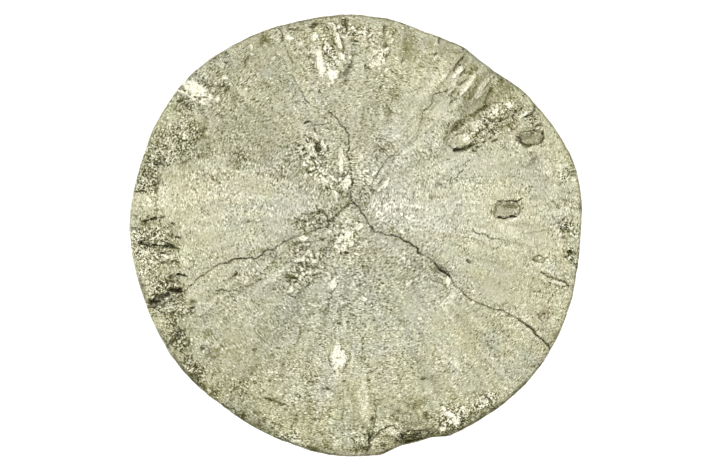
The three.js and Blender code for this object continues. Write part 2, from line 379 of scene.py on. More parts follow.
@dataclass(frozen=True)
class DiscForms:
    """Sizes and places of everything that shapes and marks the disc.

    Attributes:
        rim_radius: usual distance of the rim from the middle.
        centre_thickness: height of the front at the middle, without relief.
        rim_top: height of the front at the rim.
        back_rise: how far the back rises towards the rim.
        rest_radius: radius of the flat spot that the disc rests on.
        rim_rounding: how far the rim draws in at its top and bottom.
        dent_slimness: share of its typed width that a dent keeps.
        growth_x: place of the growth centre across.
        growth_y: place of the growth centre up.
        rim_forms: swellings and dents of the outline.
        ribs: waves that fan out from the growth centre: how many, height and phase.
        steps: sectors that stand higher or lower: first bearing, last bearing and lift.
        hollows: broad shallow hollows, with their depths.
        pits: steep-sided pits, with their depths.
        rough: patches of coarse crystals.
        shades: soft patches, lighter or darker: the crystals' own lightness, with painted light and shade on
            slopes, ledges and pit floors.
        glow_strength: what one unit of a glow's amount is worth.
        glows: further soft patches, lighter or darker, of the crystals' own lightness and painted sheen and
            shade, in units of glow_strength.
        rim_bands: dark stretches of the rim: bearing, half width, depth inwards and strength.
        tints: soft patches that are yellower, or greyer where below 0.
        warmths: soft patches that lean to tan, or to green where below 0.
        calms: soft patches whose grain is stronger, or calmer where below 0.
        rays: soft straight streaks, lighter or darker, partly painted light and shade on ridges and ledges:
            both ends, half width and strength.
        glitter: patches with painted sparkle.
        cracks: cracks and the feet of ledges.
        dents: small dents, carved and darkened with painted shade, each as the numbers of an oval.
        crystal_glints: small raised crystals with a painted glint, each as the numbers of an oval.
        sheen_fans: broad sectors of painted sheen, lighter or darker, spreading from the growth centre.
    """

    rim_radius: float = 39.1
    centre_thickness: float = 5.4
    rim_top: float = 4.0
    back_rise: float = 0.9
    rest_radius: float = 12.0
    rim_rounding: float = 0.25
    dent_slimness: float = 0.62
    growth_x: float = -0.5
    growth_y: float = 5.9
    rim_forms: tuple[RimForm, ...] = (
        RimForm(16, 26, 1.45), RimForm(53, 16, -1.25), RimForm(64, 6, -.4), RimForm(71, 11, -1.1),
        RimForm(82, 10, -.4), RimForm(123, 24, .85), RimForm(143, 25, 1.6), RimForm(172, 30, 1.15),
        RimForm(236, 26, -.75), RimForm(252, 12, -.2), RimForm(283, 8, -1.05), RimForm(290, 6, -.9),
        RimForm(328, 36, .85), RimForm(352, 14, .2),
    )
    ribs: tuple[tuple[int, float, float], ...] = (
        (7, .12, .4), (17, .13, 1.9), (31, .11, .8),
    )
    steps: tuple[tuple[float, float, float], ...] = (
        (-37, 49, .18), (49, 104, .04), (104, 206, .1), (206, 323, -.06),
    )
    hollows: tuple[Oval, ...] = (
        Oval(21.5, 20.5, 9.5, 4.2, 40, 1), Oval(24, 26.5, 5.5, 3, 62, .7), Oval(-35.5, -1.5, 5, 8, 185, .5),
        Oval(-33.5, -10.5, 4.5, 3, 200, .8), Oval(-9.5, 31, 5.5, 2.6, 112, .4),
        Oval(10.5, -35.2, 4.5, 3.2, 10, .9), Oval(-7.5, 14, 3.4, 2.2, 125, .2),
        Oval(-6.5, -.5, 4.5, 2.6, 215, .35),
    )
    pits: tuple[Oval, ...] = (
        Oval(26.6, 4.6, 2.7, 1.5, 5, .4), Oval(30.6, 17.2, 2.3, 1.4, 10, .35),
        Oval(18.3, 16.9, 2.5, 1.2, 28, .12), Oval(32.1, -4.2, 1.1, .6, 170, .25),
        Oval(33, -14.2, 1, .9, 80, .2), Oval(-6.8, 15.5, .8, .5, 105, .25),
        Oval(-26.6, -20.2, 1, .7, 130, .3), Oval(-35.2, -1.6, 3.4, .6, 175, .5),
        Oval(-34, -11.2, 2.4, .9, 20, .7),
    )
    rough: tuple[Oval, ...] = (
        Oval(-6.5, 32.2, 6.4, 5, 100, .38), Oval(3.4, 33, 4.6, 4.2, 90, .4), Oval(-1.5, 36, 8, 2.2, 0, .6),
        Oval(-30.4, 17.4, 5.2, 4.8, 10, .8), Oval(-34, 14.6, 5, 2.6, 12, .8), Oval(-29, 24, 6, 3.6, 50, .6),
        Oval(-21, 14.4, 2.4, 1.5, 95, .6), Oval(-36.4, 11.4, 4.2, 2.8, 80, 1.15),
        Oval(-35.3, -2.5, 7, 4.9, 88, 1), Oval(-33.9, .9, 3.2, 2.5, 0, .6), Oval(-30.4, -12.8, 2.6, 2, 0, .6),
        Oval(-33.5, -10.5, 5, 4.6, 60, 1), Oval(-31.8, -17.2, 4.6, 2.8, 120, 1),
        Oval(-28.6, -23.4, 4.4, 2, 122, .9), Oval(-7.8, 14.6, 4.4, 3.2, 110, .9),
        Oval(-8.9, -5, 5.6, 4.2, 95, .75), Oval(-2.4, -.4, 4.4, 3.6, 60, .75), Oval(-7, 3, 5.6, 2.3, 22, .6),
        Oval(-2.6, 9.2, 3.8, 3.2, 100, .7), Oval(2.2, 8.4, 2.6, 1.6, 20, .5),
        Oval(4.4, 16.4, 2.4, 1.8, 0, .35), Oval(24.4, 20.2, 6.4, 3.2, 35, .9),
        Oval(31.4, 19.6, 3.2, 2.4, 45, .6), Oval(37.3, 1.6, 2.2, 2.4, 90, .8),
        Oval(37.9, -3.4, 2, 1.8, 0, .8), Oval(37.6, 10.6, 2, 2, 0, .6), Oval(17.4, -31.8, 4.4, 3.2, 20, .85),
        Oval(22.6, -29.6, 3.4, 2.4, 30, .8), Oval(10.4, -35.3, 3.4, 1.8, 15, .9),
        Oval(-14, -35, 6, 1.3, -20, .7), Oval(-22.4, -31.2, 4.4, 1.5, -38, .85),
        Oval(-27.3, -26.4, 3.6, 1.7, -47, .85), Oval(5, -34.4, 8.5, 3, 2, .4),
        Oval(-2.9, -15.5, 2, 1.2, 0, .3),
    )
    # The crystals' own lightness mixed with painted light and shade: lit and shaded sides of ledges, shaded
    # slopes, dark pit floors.
    shades: Patches = (
        (-27.5, 8, 6, 4, -10, .08), (-17.5, 7, 4.5, 1.6, -5, .1), (-33.5, 7.5, 2.2, 2.6, 0, .12),
        (-20, 2.4, 6.5, .5, 2, -.1), (-10.5, 8.5, 4.5, 1.4, -15, .06), (-13, 1.6, 2.4, 1.4, 0, .12),
        (-2.4, 4.9, 3.4, 1.2, 42, -.32), (-7.2, 3.4, 4.4, 1.2, 15, -.28), (.6, 6.2, 2.6, 2, 50, -.26),
        (-6.7, 15.4, 1.2, .8, 105, -.2), (-8.8, 15.2, .6, .5, 0, -.12), (-8.3, 11.8, 3.2, 1.6, -42, -.12),
        (-21, 14, 2.2, 1.6, 100, -.17), (-15.8, 14, 2, 1.3, 100, -.1), (-16, 20, 2.2, 1.4, 90, -.1),
        (-15.3, 26.2, 1.2, .7, 10, -.18), (-22.8, 26.1, 1.2, .9, 40, -.21), (-19.2, 30.8, 1.2, .9, 60, -.21),
        (-24.2, 31.2, 2.6, 1.1, 30, -.21), (-13, 31, 1.1, 1.1, 0, -.11), (-28.3, 18, 3, 2.4, 100, -.17),
        (-26.3, 15, 3.2, 1.4, 80, -.12), (-31, 15, 3, 1.3, 10, -.16), (-34.5, 13, 1.7, 1.4, 0, -.21),
        (-37.2, 11.5, 3.8, 1.5, 80, -.18), (-36.8, 8.9, 2.2, .9, 15, -.24), (-34.8, 9.4, 1.2, 1, 70, -.24),
        (-36.4, 17.3, 2.2, 1.2, 60, -.12), (-29, 22.5, 2.6, 1.4, 30, -.12), (-29, 16.6, 2.6, 1.2, 20, -.1),
        (-26, 20.6, 1.6, 2.2, 0, -.11), (-30.3, 12.7, 2.4, .9, 18, -.15), (-34.6, 19.4, 1.3, .9, 60, .14),
        (-32.4, 20.6, 2.6, .8, -45, .2), (-30.3, 19.4, 1.6, .9, 110, .2), (-19.2, 24.6, 3.6, .6, -50, .16),
        (-25.6, 23.6, 2.4, 1.2, -30, .14), (-33, 23.2, 1.8, .6, 60, -.15), (-20, 18, 8, 6, -20, -.05),
        (-24, 22, 2.6, 2.6, 0, -.05), (-8, 31.5, 1.1, .7, 0, -.21), (-1.5, 28.9, 1.7, 1, 65, -.27),
        (-10.5, 36.4, 2.4, .6, 5, -.18), (-7, 37.2, 1.5, .8, 25, -.27), (-1.8, 37.2, 1.5, .8, 90, -.3),
        (-6, 29.8, 3, 1, -80, .1), (3.9, 31.2, 3.2, 2.2, 70, .12), (5.6, 26, 5, 4.2, 60, -.1),
        (13.2, 26.6, 4.6, 1.2, 45, .2), (10.8, 24.6, 1.7, 1.3, 50, .16), (12.4, 29.2, 2.2, 1.1, 50, .14),
        (8.2, 25.5, 2.4, 1, 55, -.12), (13.6, 23.8, 1.8, .7, 50, -.14), (10.6, 19.2, 2.4, .7, 60, -.1),
        (5.2, 24, 3, 1, 70, -.08), (16.8, 24.2, 3, .8, 52, .14), (15.4, 30.4, 2, .9, -30, .1),
        (9, 29, 2.4, .8, 70, -.08), (6.6, 23.2, 1.4, 1.1, 60, .1), (21.7, 25.9, 2.8, .8, 60, .26),
        (18.4, 28.6, 2, .8, 50, .25), (25.6, 22.6, 2.4, 1.2, 30, .1), (22.9, 29, 2.2, .9, -45, .1),
        (7, 18.6, 2.8, 1.7, 60, .22), (15, 21.6, 1.9, 1.8, 0, .22), (9.6, 22.2, 1.8, 1.4, 60, .18),
        (12, 30.6, 3.2, 2, 60, .06), (3.7, 21.2, 1.2, 1.2, 0, .1), (11.4, 21.8, 3.2, .8, 75, -.15),
        (7, 15.9, 4, 1, 8, -.09), (4.4, 16, 1.8, 1.5, 0, -.09), (3.5, 11, 3.4, .9, 65, -.12),
        (2.8, 7.8, 1.6, .8, 0, -.13), (8.2, 12.4, 5, .7, 55, .15), (5.6, 9, 1.4, .8, 45, .16),
        (7.4, 5.2, 6, 3.4, 0, .09), (12.4, 1.6, 6, 2.2, -20, .07), (21.5, 3.5, 6, 4, 0, .04),
        (15.8, 17.4, 1.9, 1.1, 75, -.32), (17.6, 19.5, 2.8, 1.2, 22, -.38), (20.6, 21.3, 2.6, 1, 38, -.32),
        (18.4, 17.2, 1.7, .8, 28, .2), (22.8, 19.2, 3.6, 1.6, 35, .1), (21.3, 19.6, 1.5, 1.1, 30, .26),
        (20.7, 17.6, 2, .6, 80, -.15), (22.8, 18.7, 1.2, 1.1, 0, -.18), (24.2, 17.4, 1.4, .6, 30, -.15),
        (24, 20.2, 1.7, .9, 20, -.18), (26.5, 19.7, 1.6, .8, -40, -.11), (19.9, 24.6, 3.6, 1, 60, -.36),
        (22.1, 22.8, 1.8, 1.3, 30, -.38), (23.9, 25.2, 3.8, 1.1, 66, -.45), (26.8, 26.4, 2.8, 1.8, -45, -.22),
        (28.7, 22.5, 1.7, 1.1, 30, -.22), (31, 22, 1.7, .8, 35, -.24), (30.7, 17.4, 3, 2, 10, -.5),
        (24.8, 22.4, 1.9, 1.5, 30, .14), (27.5, 18.9, 1.5, .9, 0, .16), (16.6, 27.6, 1.5, 1, 50, -.1),
        (20, 31, 3.6, 1.4, -40, -.1), (12, 34.6, 4.4, 1.4, -12, -.1), (29.5, 25, 2, .9, -50, -.1),
        (31, 12.9, 2.6, 1.2, 30, -.22), (34, 11.4, 3.4, .8, -10, -.1), (20.5, 22, 7.6, 3.4, 50, -.1),
        (26.7, 4.6, 3.2, 2, 4, -.5), (27.2, 5.2, 2, .8, 0, -.15), (26, 8, 3.6, 1.7, 0, .1),
        (36.7, 1.4, 1.3, .9, 0, -.27), (37.5, 2.7, 1.2, .9, 30, -.18), (36, 6.1, 3, .6, 0, -.12),
        (38, -3.2, 1.8, .9, -12, -.24), (37.8, 10.4, 1.6, 1.3, 0, -.08), (34.6, 13.6, 3, 1.6, -30, .06),
        (31, .8, 4, .5, 0, -.12), (-19.4, -9, 4.6, 1, 10, -.12), (-17, -7.5, 4, 1.2, 30, -.08),
        (-21.3, -7, 1.1, .8, 30, -.18), (-23.8, -9.8, 1.5, .6, 10, -.21), (-14.6, -7.2, 4.4, .9, 42, .1),
        (-15.4, -2.7, 2.4, .8, 10, -.21), (-12, -7.3, 1.1, 1, 90, -.3), (-9.7, -4.9, 1.3, .9, 0, -.24),
        (-9.4, -6.6, 1.2, 1.1, 0, -.17), (-7, -8.4, 1.9, .8, 30, -.16), (-4.9, -2.4, 1, 1, 0, -.18),
        (-10, -13.6, 9, 6.4, -10, -.1), (-15.4, -17.6, 3, 1.5, 10, -.08), (-3, -15.3, 1.2, .9, 0, -.18),
        (-1, -12.4, 2.4, .9, 90, -.12), (-4.8, -22, 3.6, 3.6, 90, .07), (-4.3, -25.2, 1.5, .7, 90, .16),
        (-25, -21.7, 1.1, .8, 30, -.21), (-18, -20.1, 1.2, .6, 0, -.11), (-13.4, -24.8, 2.4, .6, -4, -.14),
        (-14.4, -29.2, 2.8, .7, -16, -.24), (-10.1, -27.9, 1, .9, 0, -.11), (-5.3, -27, 1.2, .5, -5, -.21),
        (-20, -25, 9, 5, -35, -.08), (-17.8, -31.8, 3.6, 1.8, -25, -.17), (-20.3, -32, 2, 1, -30, -.3),
        (-16.8, -34, 2.2, .8, -25, -.3), (-24.8, -28.5, 1.4, .8, -40, -.24), (-27.5, -26.3, 1.9, 1, -45, -.3),
        (-28.4, -23.5, 1.6, .9, 90, -.23), (-7.5, -37.5, 2.6, .8, -10, -.3), (-10.6, -34.4, 4, 1.4, -14, .08),
        (-10.5, -32, 1.5, .7, 0, -.11), (-3.4, -34.6, 3.4, 1.9, 0, -.09), (-.8, -30.6, 2.4, 1.4, 90, .12),
        (-35, -1.9, 4.2, .9, -4, -.3), (-33, -4.8, 2.2, .6, 0, -.24), (-32.9, -8.1, 1.7, 1.6, 0, -.3),
        (-34, -10.9, 3.4, 1.3, 18, -.36), (-35, -12.3, 1.6, 1, 0, -.3), (-28.6, -12, 1.1, 1.1, 0, -.24),
        (-32.3, -13.9, 1.8, 1.1, 0, -.24), (-31.4, -17.6, 2.2, 1.8, 60, -.3), (-29.5, -19, 1.9, .8, 95, -.21),
        (-30.4, -12, 2.8, 2.4, 0, -.08), (-30.6, -20.5, 5.6, 2.2, 120, -.08), (-33.5, .5, 3.6, 1.8, 0, -.08),
        (9.8, -5.6, 5.4, 5, 0, -.1), (2.8, -1.8, 2.4, 2.2, 0, -.1), (1.8, -1.5, .9, .8, 0, .3),
        (7.5, -2, 1, .9, 0, .16), (9.5, -8.3, 1, .8, 0, .16), (4, -13, 9, 6, 0, -.07),
        (17.6, -10.4, 1.7, 1.5, 0, .24), (14.9, -12.8, 1.6, 1.2, 60, .14), (18, -17.6, 4.6, 2.4, -60, .08),
        (11.8, -25.2, 1.4, .7, 5, -.21), (24.5, -19.4, 3.4, 1.3, -40, -.08),
        (12.2, -31.7, 1.3, 1.2, 60, -.27), (10.8, -30.2, 5.4, 4, 0, -.12), (17.6, -22.6, 2.6, .7, -65, .18),
        (13.5, -28, 2.6, .8, -65, .14), (16.8, -31.9, 2.2, .9, -40, .3), (22, -31, 2.8, 1, 28, -.27),
        (10, -35.9, 3.4, 1.5, 8, -.42), (13.7, -35.1, 1.8, .8, 0, -.27), (5.5, -37.6, 1.6, .7, -15, -.24),
        (2.5, -35.5, 1.6, 1, 90, -.21), (3, -32.2, .9, .8, 0, -.21), (1.2, -28.6, 4.8, 1.2, 92, .2),
        (-2, -32.6, 1.8, 1, 90, .08), (5.4, -35.6, 2, 1.4, 60, .08), (4.4, -30.5, 3.4, 1, 100, -.1),
        (8.6, -28.5, 3.4, 2.2, 0, -.08), (32, -4.2, 1.6, .8, -5, -.13), (37.3, -8.6, 1.1, .8, 0, -.21),
        (33.2, -14.1, 1.3, 1.2, 0, -.17), (35.3, -17.5, 1.9, 1.2, 60, -.22), (32.8, -21.9, 1.9, .8, 55, -.18),
        (-35.3, .8, 4.4, 2.2, 0, -.16), (-31.4, 17.3, 5.9, 4.6, 5, -.08), (-36.8, 11, 2.4, 3.4, 0, -.12),
        (-36, 5.8, 3.2, 2, 0, .12), (-33.5, -3.6, 3.6, 1.2, 0, .14), (-30.5, -22.5, 5, 2, 120, -.1),
        (17, -33.5, 8, 1.6, 20, -.14), (5, -36.5, 6, 1.2, 5, -.1), (-3, -9.5, 8, 1.1, 88, .07),
        (-2, -17.5, 4, .9, 86, .06), (-26, -16, 6, 4, 60, -.03), (-29, -15.5, 5, 3, 70, -.05),
        (-22, -27, 6, 3, -40, -.05), (6, -34, 8, 3, 5, -.06), (21, -27.5, 6, 3, 35, -.05),
        (-8, -31, 8, 3, -10, -.03), (-18, -14, 8, 3, 20, -.03), (15.2, -6.4, 2, 1, -38, -.3),
        (20, -4.6, .9, .8, 0, -.18), (10.4, -2, 3.6, .8, -35, -.18),
    )
    glow_strength: float = 2.3
    # Further lightness patches, partly painted sheen and painted shade.
    glows: Patches = (
        (-8.2, 31.5, 4.6, 1.4, 90, .14), (3.8, 29.5, 2.4, 1.6, 90, .05), (3.2, 26, 2.6, 1.3, 90, .08),
        (-2.2, 28.5, 1.5, 1.5, 0, .08), (7.4, 16.8, 2.2, 1, 0, .13), (10.5, 19, 2.6, 1, 55, .14),
        (14.3, 15.6, 2, 1.3, 10, .15), (19.5, 17, 1.4, 1.4, 0, .2), (17, 20.5, 3, 1.1, 5, .1),
        (11.5, 28, 2.7, 1.3, 45, .07), (-33, 16, 2.2, 1.8, 90, .2), (-30, 18.5, 1.9, 1.6, 0, .12),
        (-34, -12, 2.6, 1.5, 20, .2), (-37.2, -6, 2.6, 1.2, 90, .15), (-29.5, -23.4, 2.4, 1.3, -50, .15),
        (-13, -3, 3.2, 2.2, 0, .11), (-17, -6, 5.2, 1.3, 30, .1), (-30, -3, 2.2, 1.6, 0, .08),
        (-20, -.6, 8, 2.2, 0, .06), (-14.4, -12.5, 3.8, 2.4, 60, .08), (-9.5, -8, 1.5, 1.4, 0, .08),
        (-18.3, -17, 1.8, 1.2, 90, .07), (26, 1.3, 4.2, 1.1, -14, .14), (27.8, 3, 1.8, 1.1, 50, .12),
        (20, 1.6, 4, 1.2, -18, .06), (22.5, 9, 6, 4, 0, .05), (33.4, 11, 1.7, 1.4, 0, .1),
        (33, -6, 4.4, 1.4, -20, .08), (16.4, -12, 1.9, 1.8, 0, .18), (15.5, -6.3, 1.4, 1, 0, .08),
        (22, -15, 3, 2.2, -40, .07), (29, -18.7, 2.2, 1.3, -20, .09), (11, -3.4, 2.4, 1.4, -50, .08),
        (9.6, -19, 1.8, 1.5, 0, .06), (-.7, -21.4, 2.8, 1.3, 90, .18), (-.4, -18, 2.2, 1.3, 95, .12),
        (-3, -16, 2.2, 1.6, 0, .08), (.2, -27, 3.2, 1.5, 110, .1), (-7.5, -22, 2.2, 1.3, 85, .06),
        (-7.7, -26.5, 2.7, 1.1, 95, .07), (2, -13, 5, 4, 0, .06), (7, -17, 5, 4, 60, .04),
        (21, -30.4, 2.2, 1.5, 30, .12), (7.8, -35.4, 1.7, 1.1, 20, .14), (-9.5, 19, 1.7, 1.4, 0, .1),
        (-13, 17.2, 2.2, 1.6, 90, .05), (-27, 22, 3, 3, 0, .04), (.8, 13, 2.2, 1.1, 90, .06),
        (-18.5, 27.5, 3.4, 3, 0, .04), (-32.5, 4.6, 2, 1.1, 0, .08), (-24.5, 6.5, 2.2, 1.2, 0, .07),
        (-8, 2, 2, 1, 10, .1), (3.5, 6, 3.2, 1.1, 55, .06), (9.5, 33.4, 4.2, 2, 85, -.19),
        (14, 33.6, 1.8, 1.2, -15, -.18), (18, 31.6, 3.2, 1.2, -40, -.14), (20.3, 29, 1.5, 1.3, 0, -.16),
        (27, 25.4, 3.2, 2.5, -50, -.15), (27.5, 19.4, 2.7, 1.2, 20, -.14), (17.5, 25, 2, 1.5, 20, -.22),
        (22, 20, 1.7, 1.4, 20, -.2), (7, 26, 3.2, 1.2, 75, -.16), (5.8, 22, 2.5, 1.2, 80, -.16),
        (-37.2, 2.3, 1.6, 1.5, 0, -.28), (-35.5, 8, 2.6, 1.2, 95, -.12), (-33.8, 12.2, 1.4, 1, 0, -.12),
        (-34.3, -4, 1.4, 1.3, 0, -.13), (-21, 12.5, 2.2, 1.2, -10, -.14), (-27, 14.5, 2.6, 1.9, 60, -.1),
        (-26.5, 18.6, 2.5, 1.2, 90, -.07), (-14, 10, 6.2, 1.2, -22, -.08), (-9, 8, 2.7, 1.2, -30, -.13),
        (-6.5, 12.5, 2.4, 1.3, -60, -.14), (-5.5, 6, 1.3, 1.2, 0, -.13), (-2, 7, 1.4, 1, 0, -.14),
        (-2, 10.5, 1.2, 1.2, 0, -.12), (6, -4.8, 2, 1.9, 0, -.11), (0, -6, 1.7, 1.2, 90, -.07),
        (9, -8, 3.2, 2, -20, -.07), (16.5, 3.8, 1.2, 1.1, 0, -.07), (32, 6.5, 2.2, 1.1, 0, -.13),
        (35.6, 5.5, 1.6, 1, 0, -.14), (34, 13.5, 1.7, 1, -20, -.12), (37.3, -1.5, 2.6, 1, 90, -.15),
        (14.8, 8.7, 2.2, 1, 0, -.07), (24.5, -12, 3.8, 1.1, -25, -.13), (31, -13.5, 2.8, 1.2, -20, -.06),
        (-7.5, -12.5, 2.7, 1.3, 60, -.13), (-9.5, -17, 2.7, 1.2, 70, -.08), (-15, -22, 2.2, 1.4, 70, -.1),
        (-26.3, -17.5, 1.6, 1.5, 0, -.12), (-22, -20, 3.2, 2.2, 0, -.05), (-25.6, -27.4, 2.4, 1.2, -48, -.13),
        (-14, -29, 2.6, 1.2, -10, -.09), (-17, -31.5, 2.2, 1.2, -25, -.13),
        (-14.6, -33.6, 3.2, 1.2, -22, -.1), (-9, -31.5, 1.3, 1.1, 0, -.07), (-5.5, -37, 2.2, 1.1, -8, -.2),
        (0, -37.6, 3.2, .9, 0, -.18), (4.5, -37.2, 1.8, 1, 8, -.2), (10.5, -29.5, 2.6, 1.6, 20, -.11),
        (14, -26, 3.2, 1.7, -60, -.1), (17.5, -27.5, 2.2, 1.2, -60, -.1), (14, -32, 1.6, 1.4, 0, -.16),
        (18.3, -32, 1.7, 1.4, 0, -.22), (21, -24, 2.7, 2.2, -50, -.06), (-16, 34.3, 1.5, 1.2, 25, -.13),
        (-22.5, 29.5, 1.8, 1.2, 40, -.09), (-26, 24.5, 1.6, 1.1, 0, -.16), (-12.5, 27, 2.7, 2.2, 60, -.06),
        (-1.6, 32.5, 2.6, 1.2, 0, -.08), (12.5, 31.5, 3.6, 2.5, -20, -.08), (-13.4, 11.3, 1.3, 1.2, 0, .1),
        (-9.5, 19.5, 2.7, 1.3, 110, .06), (-32.5, 15.8, 2, 1.3, 0, .08), (-28, 18.5, 1.3, 1.2, 0, .06),
        (-12, -13, 3.7, 1.2, 70, .1), (-18, -22.5, 1.3, 1.2, 0, .06), (-18.3, -15, 2.2, 1.2, 90, .05),
        (-32.3, -11, 1.6, 1.2, 20, .12), (-3, -24.5, 2.2, 1.8, 90, .1), (2, -16.5, 2.2, 1.6, 0, .07),
        (-5.5, -18, 1.8, 1.1, 90, .07), (1.5, -24, 1.5, 1.2, 0, .07), (7.8, -36, 1.4, 1.1, 0, .12),
        (12.5, -35.8, 1.4, .9, 15, .1), (16, 16.5, 3.2, 2.2, 10, .08), (19.5, 17, 1.5, 1.4, 0, .12),
        (12.5, 21.4, 3.6, 1.1, 5, .07), (15.5, 11.5, 2.2, 1.1, 20, .1), (20, 12.5, 2.2, 1.7, 0, .07),
        (13, 3, 2.2, 1.6, 90, .06), (20, -1.5, 2.2, 1, -10, .1), (24, .2, 5.2, 1.3, -15, .08),
        (27.7, 3.3, 1.8, 1.2, 40, .08), (33.5, 11, 1.5, 1.3, 0, .06), (33, -6.5, 4.2, 1.6, -15, .05),
        (16, -13, 3.2, 2.2, 90, .05), (14.5, -21, 1.7, 1.2, -50, .07), (26, -22, 4.2, 1, -52, .07),
        (28, -18, 1.7, 1.2, -20, .06), (30, 18, 1.7, 1.2, 50, .08), (-8, -2, 2.7, 1.2, 0, .07),
        (-12.5, -.5, 2.2, 1.3, 90, .06), (-2, 7, 1.3, 1, 0, -.14), (-2, 10.5, 1.4, 1.3, 0, -.12),
        (-6.5, 11.5, 1.4, 1.3, 0, -.12), (-4, 11, 1.3, 1.2, 0, -.08), (-8.3, 15.5, 1.1, 1, 0, -.12),
        (-10, 14, 1.3, 1.2, 0, -.07), (4.5, 15, 1.7, 1.2, 0, -.13), (6, 11, 4.2, 1.2, 55, -.06),
        (2.5, 15.5, 1.5, 1.2, 0, -.07), (-36, 3, 1.6, 1.2, 20, -.2), (-32, 1.5, 1.5, 1, -20, -.1),
        (-14.5, -2.6, 1.4, 1.1, 0, -.09), (-20, 12.3, 1.8, 1.2, 0, -.06), (-27, 13.5, 1.6, 1.2, 0, -.07),
        (-35.3, 8, 1.8, 1.1, 90, -.07), (-25.5, 24.5, 1.7, 1.2, 0, -.14), (-26.5, 20.5, 1.5, 1.3, 0, -.09),
        (-22, 28.5, 1.5, 1.2, 0, -.06), (-15.5, 34.3, 1.5, 1, 20, -.1), (-3, 32, 2.7, 1, 0, -.08),
        (6.5, 36.3, 1.7, 1, -10, -.16), (22, 28, 3.2, 2.2, -40, -.12), (18.5, 24.5, 2.2, 1.2, 10, -.08),
        (21.5, 20, 2.2, 1.2, 20, -.1), (26, 23, 1.5, 1.3, 0, -.14), (26, 19, 1.5, 1.2, 0, -.08),
        (30.5, 14, 1.3, 1.2, 0, -.08), (35, 5.5, 1.4, 1.2, 0, -.1), (36.3, .8, 1.1, 1, 0, -.14),
        (18.3, -3.8, 1.7, 1, -20, -.1), (14.5, 9.3, 1.4, 1.2, 90, -.07), (8, 29, 1.7, 1.2, 20, -.1),
        (11, 29.5, 2.2, 1, 10, -.08), (16, 32.5, 1.4, 1.2, 0, -.1), (5.5, 20.5, 2.2, 1.2, 90, -.08),
        (7, 24, 1.5, 1.2, 60, -.07), (4.5, -3, 2.2, 1.2, 90, -.06), (-3, -2, 1.1, 1, 0, -.09),
        (10, .5, 1.3, 1, 0, -.07), (-12, -7.5, 1.3, 1.2, 0, -.09), (-19.5, -10, 1.4, 1.1, 0, -.08),
        (27, -13.5, 3.2, 1.6, -20, -.05), (30, -22, 3.2, 1.1, -50, -.06), (-8.5, -11.5, 1.4, 1.2, 0, -.06),
        (-15, -28.5, 1.6, 1.3, 0, -.09), (-14.5, -31.7, 1.5, 1.1, -20, -.1), (-5, -36, 1.7, 1.2, -10, -.12),
        (5, -35.5, 1.6, 1.3, 0, -.14), (7, -31, 1.5, 1.3, 90, -.1), (13, -29, 3.2, 1.6, 30, -.07),
        (12, -32, 1.3, 1.2, 0, -.08), (17.5, -32, 1.7, 1.3, 20, -.15), (22.5, -26, 1.4, 1.2, 0, -.08),
        (-24.5, -27.6, 1.7, 1.1, -45, -.12), (-26, -17, 1.6, 1.3, 0, -.07), (-23, -12.7, 1.4, 1.1, 0, -.06),
        (-33.5, 16.4, 1.8, 1.5, 0, -.16), (-30.4, 17, 1.3, 1.2, 0, -.07), (-36, .7, 2.2, 1.3, 0, -.16),
        (-33.4, -3.4, 1.4, 1.2, 0, -.09), (3, 31.2, 1.6, 1.8, 60, .1), (-3.6, 32.6, 1.8, 1.4, 0, -.08),
        (-6, 32.6, 1, 1.4, 0, -.05), (-3, 11.4, 1.3, 1, 0, .1), (-33.2, 13.8, 1.4, 1.1, 0, .08),
        (-33.4, -10.8, 1.5, 1.2, 20, -.12), (-29.6, -13.6, 1.5, 1.1, 0, .08), (-31.8, -5, 1.8, 1.2, 0, -.06),
        (2.8, -35.8, 1.5, 1.1, 0, .1), (7.6, -37.2, 1.4, .8, 10, .1), (11.6, -36.6, 1.8, .8, 10, .1),
        (17.6, -33, 1.9, 1.1, 20, -.1), (-23.6, -30.6, 2.4, .8, -40, .12), (.8, -37.6, 1.6, .8, 0, -.1),
        (7.6, 36, 1.3, 1.6, 0, -.08), (-6.2, -1.6, 1.5, 1.2, 0, .06), (-7.6, -3.6, 1.2, 1.1, 0, -.06),
        (-11.8, -4.8, 1.8, 1.2, -10, .06), (-19.4, 5.2, 3, 1.1, 20, .05), (.6, 10.4, 1.1, 1.3, 0, -.05),
        (25.6, -3.4, 3, 1.1, -15, .05), (29.6, 1.4, 3.4, 1.1, -10, .05), (31.6, -3, 3, .9, -10, -.05),
        (20.6, 10.6, 3.6, 1.1, 5, -.03), (37.2, -3, 1, 1.6, 0, -.07), (30.4, 20.6, 1.4, 1.1, 0, -.06),
        (21.6, 23, 1.4, 1.1, 0, .06), (1.6, -28.6, 1.2, 2.2, 0, -.05), (-13, -28, 2, 1.3, 0, -.05),
        (-3.6, -22.6, 1.5, 1.6, 0, .05), (3, -21, 2.4, 2, 0, .04), (-.4, -9.6, 2.4, 1.4, 0, .06),
        (-33, 18.2, 1.7, 1.4, 0, .09), (-30.6, -12.6, 2.6, 2.2, 0, .1), (-31.4, -9.4, 1.2, 1.2, 0, .08),
        (-33.6, -13, 2, 1.3, 0, .08), (5.4, -33, 1.6, 1.3, 0, .1), (11, -36.6, 1.8, 1, 10, .1),
        (2.6, 33.6, 1.4, 1.6, 0, .06), (17.6, 20.2, 1.8, 1.2, 0, .08), (-34.3, 15.9, 1.5, 1.3, 0, -.09),
        (-5.4, 33.2, 2, 1.3, 0, -.1), (15.4, 24.8, 1.5, 1.3, 30, -.12), (27.6, 23.5, 1.7, 1, 0, -.06),
        (20, 27, 1.4, 1.3, 0, -.06), (8.6, 32, 1.8, 1.8, 0, -.06), (10.2, 29.2, 2, 1.3, 0, -.06),
        (-7.4, 14.8, 1.4, 1.2, 0, -.06), (-5.6, 11, 1.5, 1.2, 0, -.07), (4.6, 14.6, 1.4, 1.4, 0, -.05),
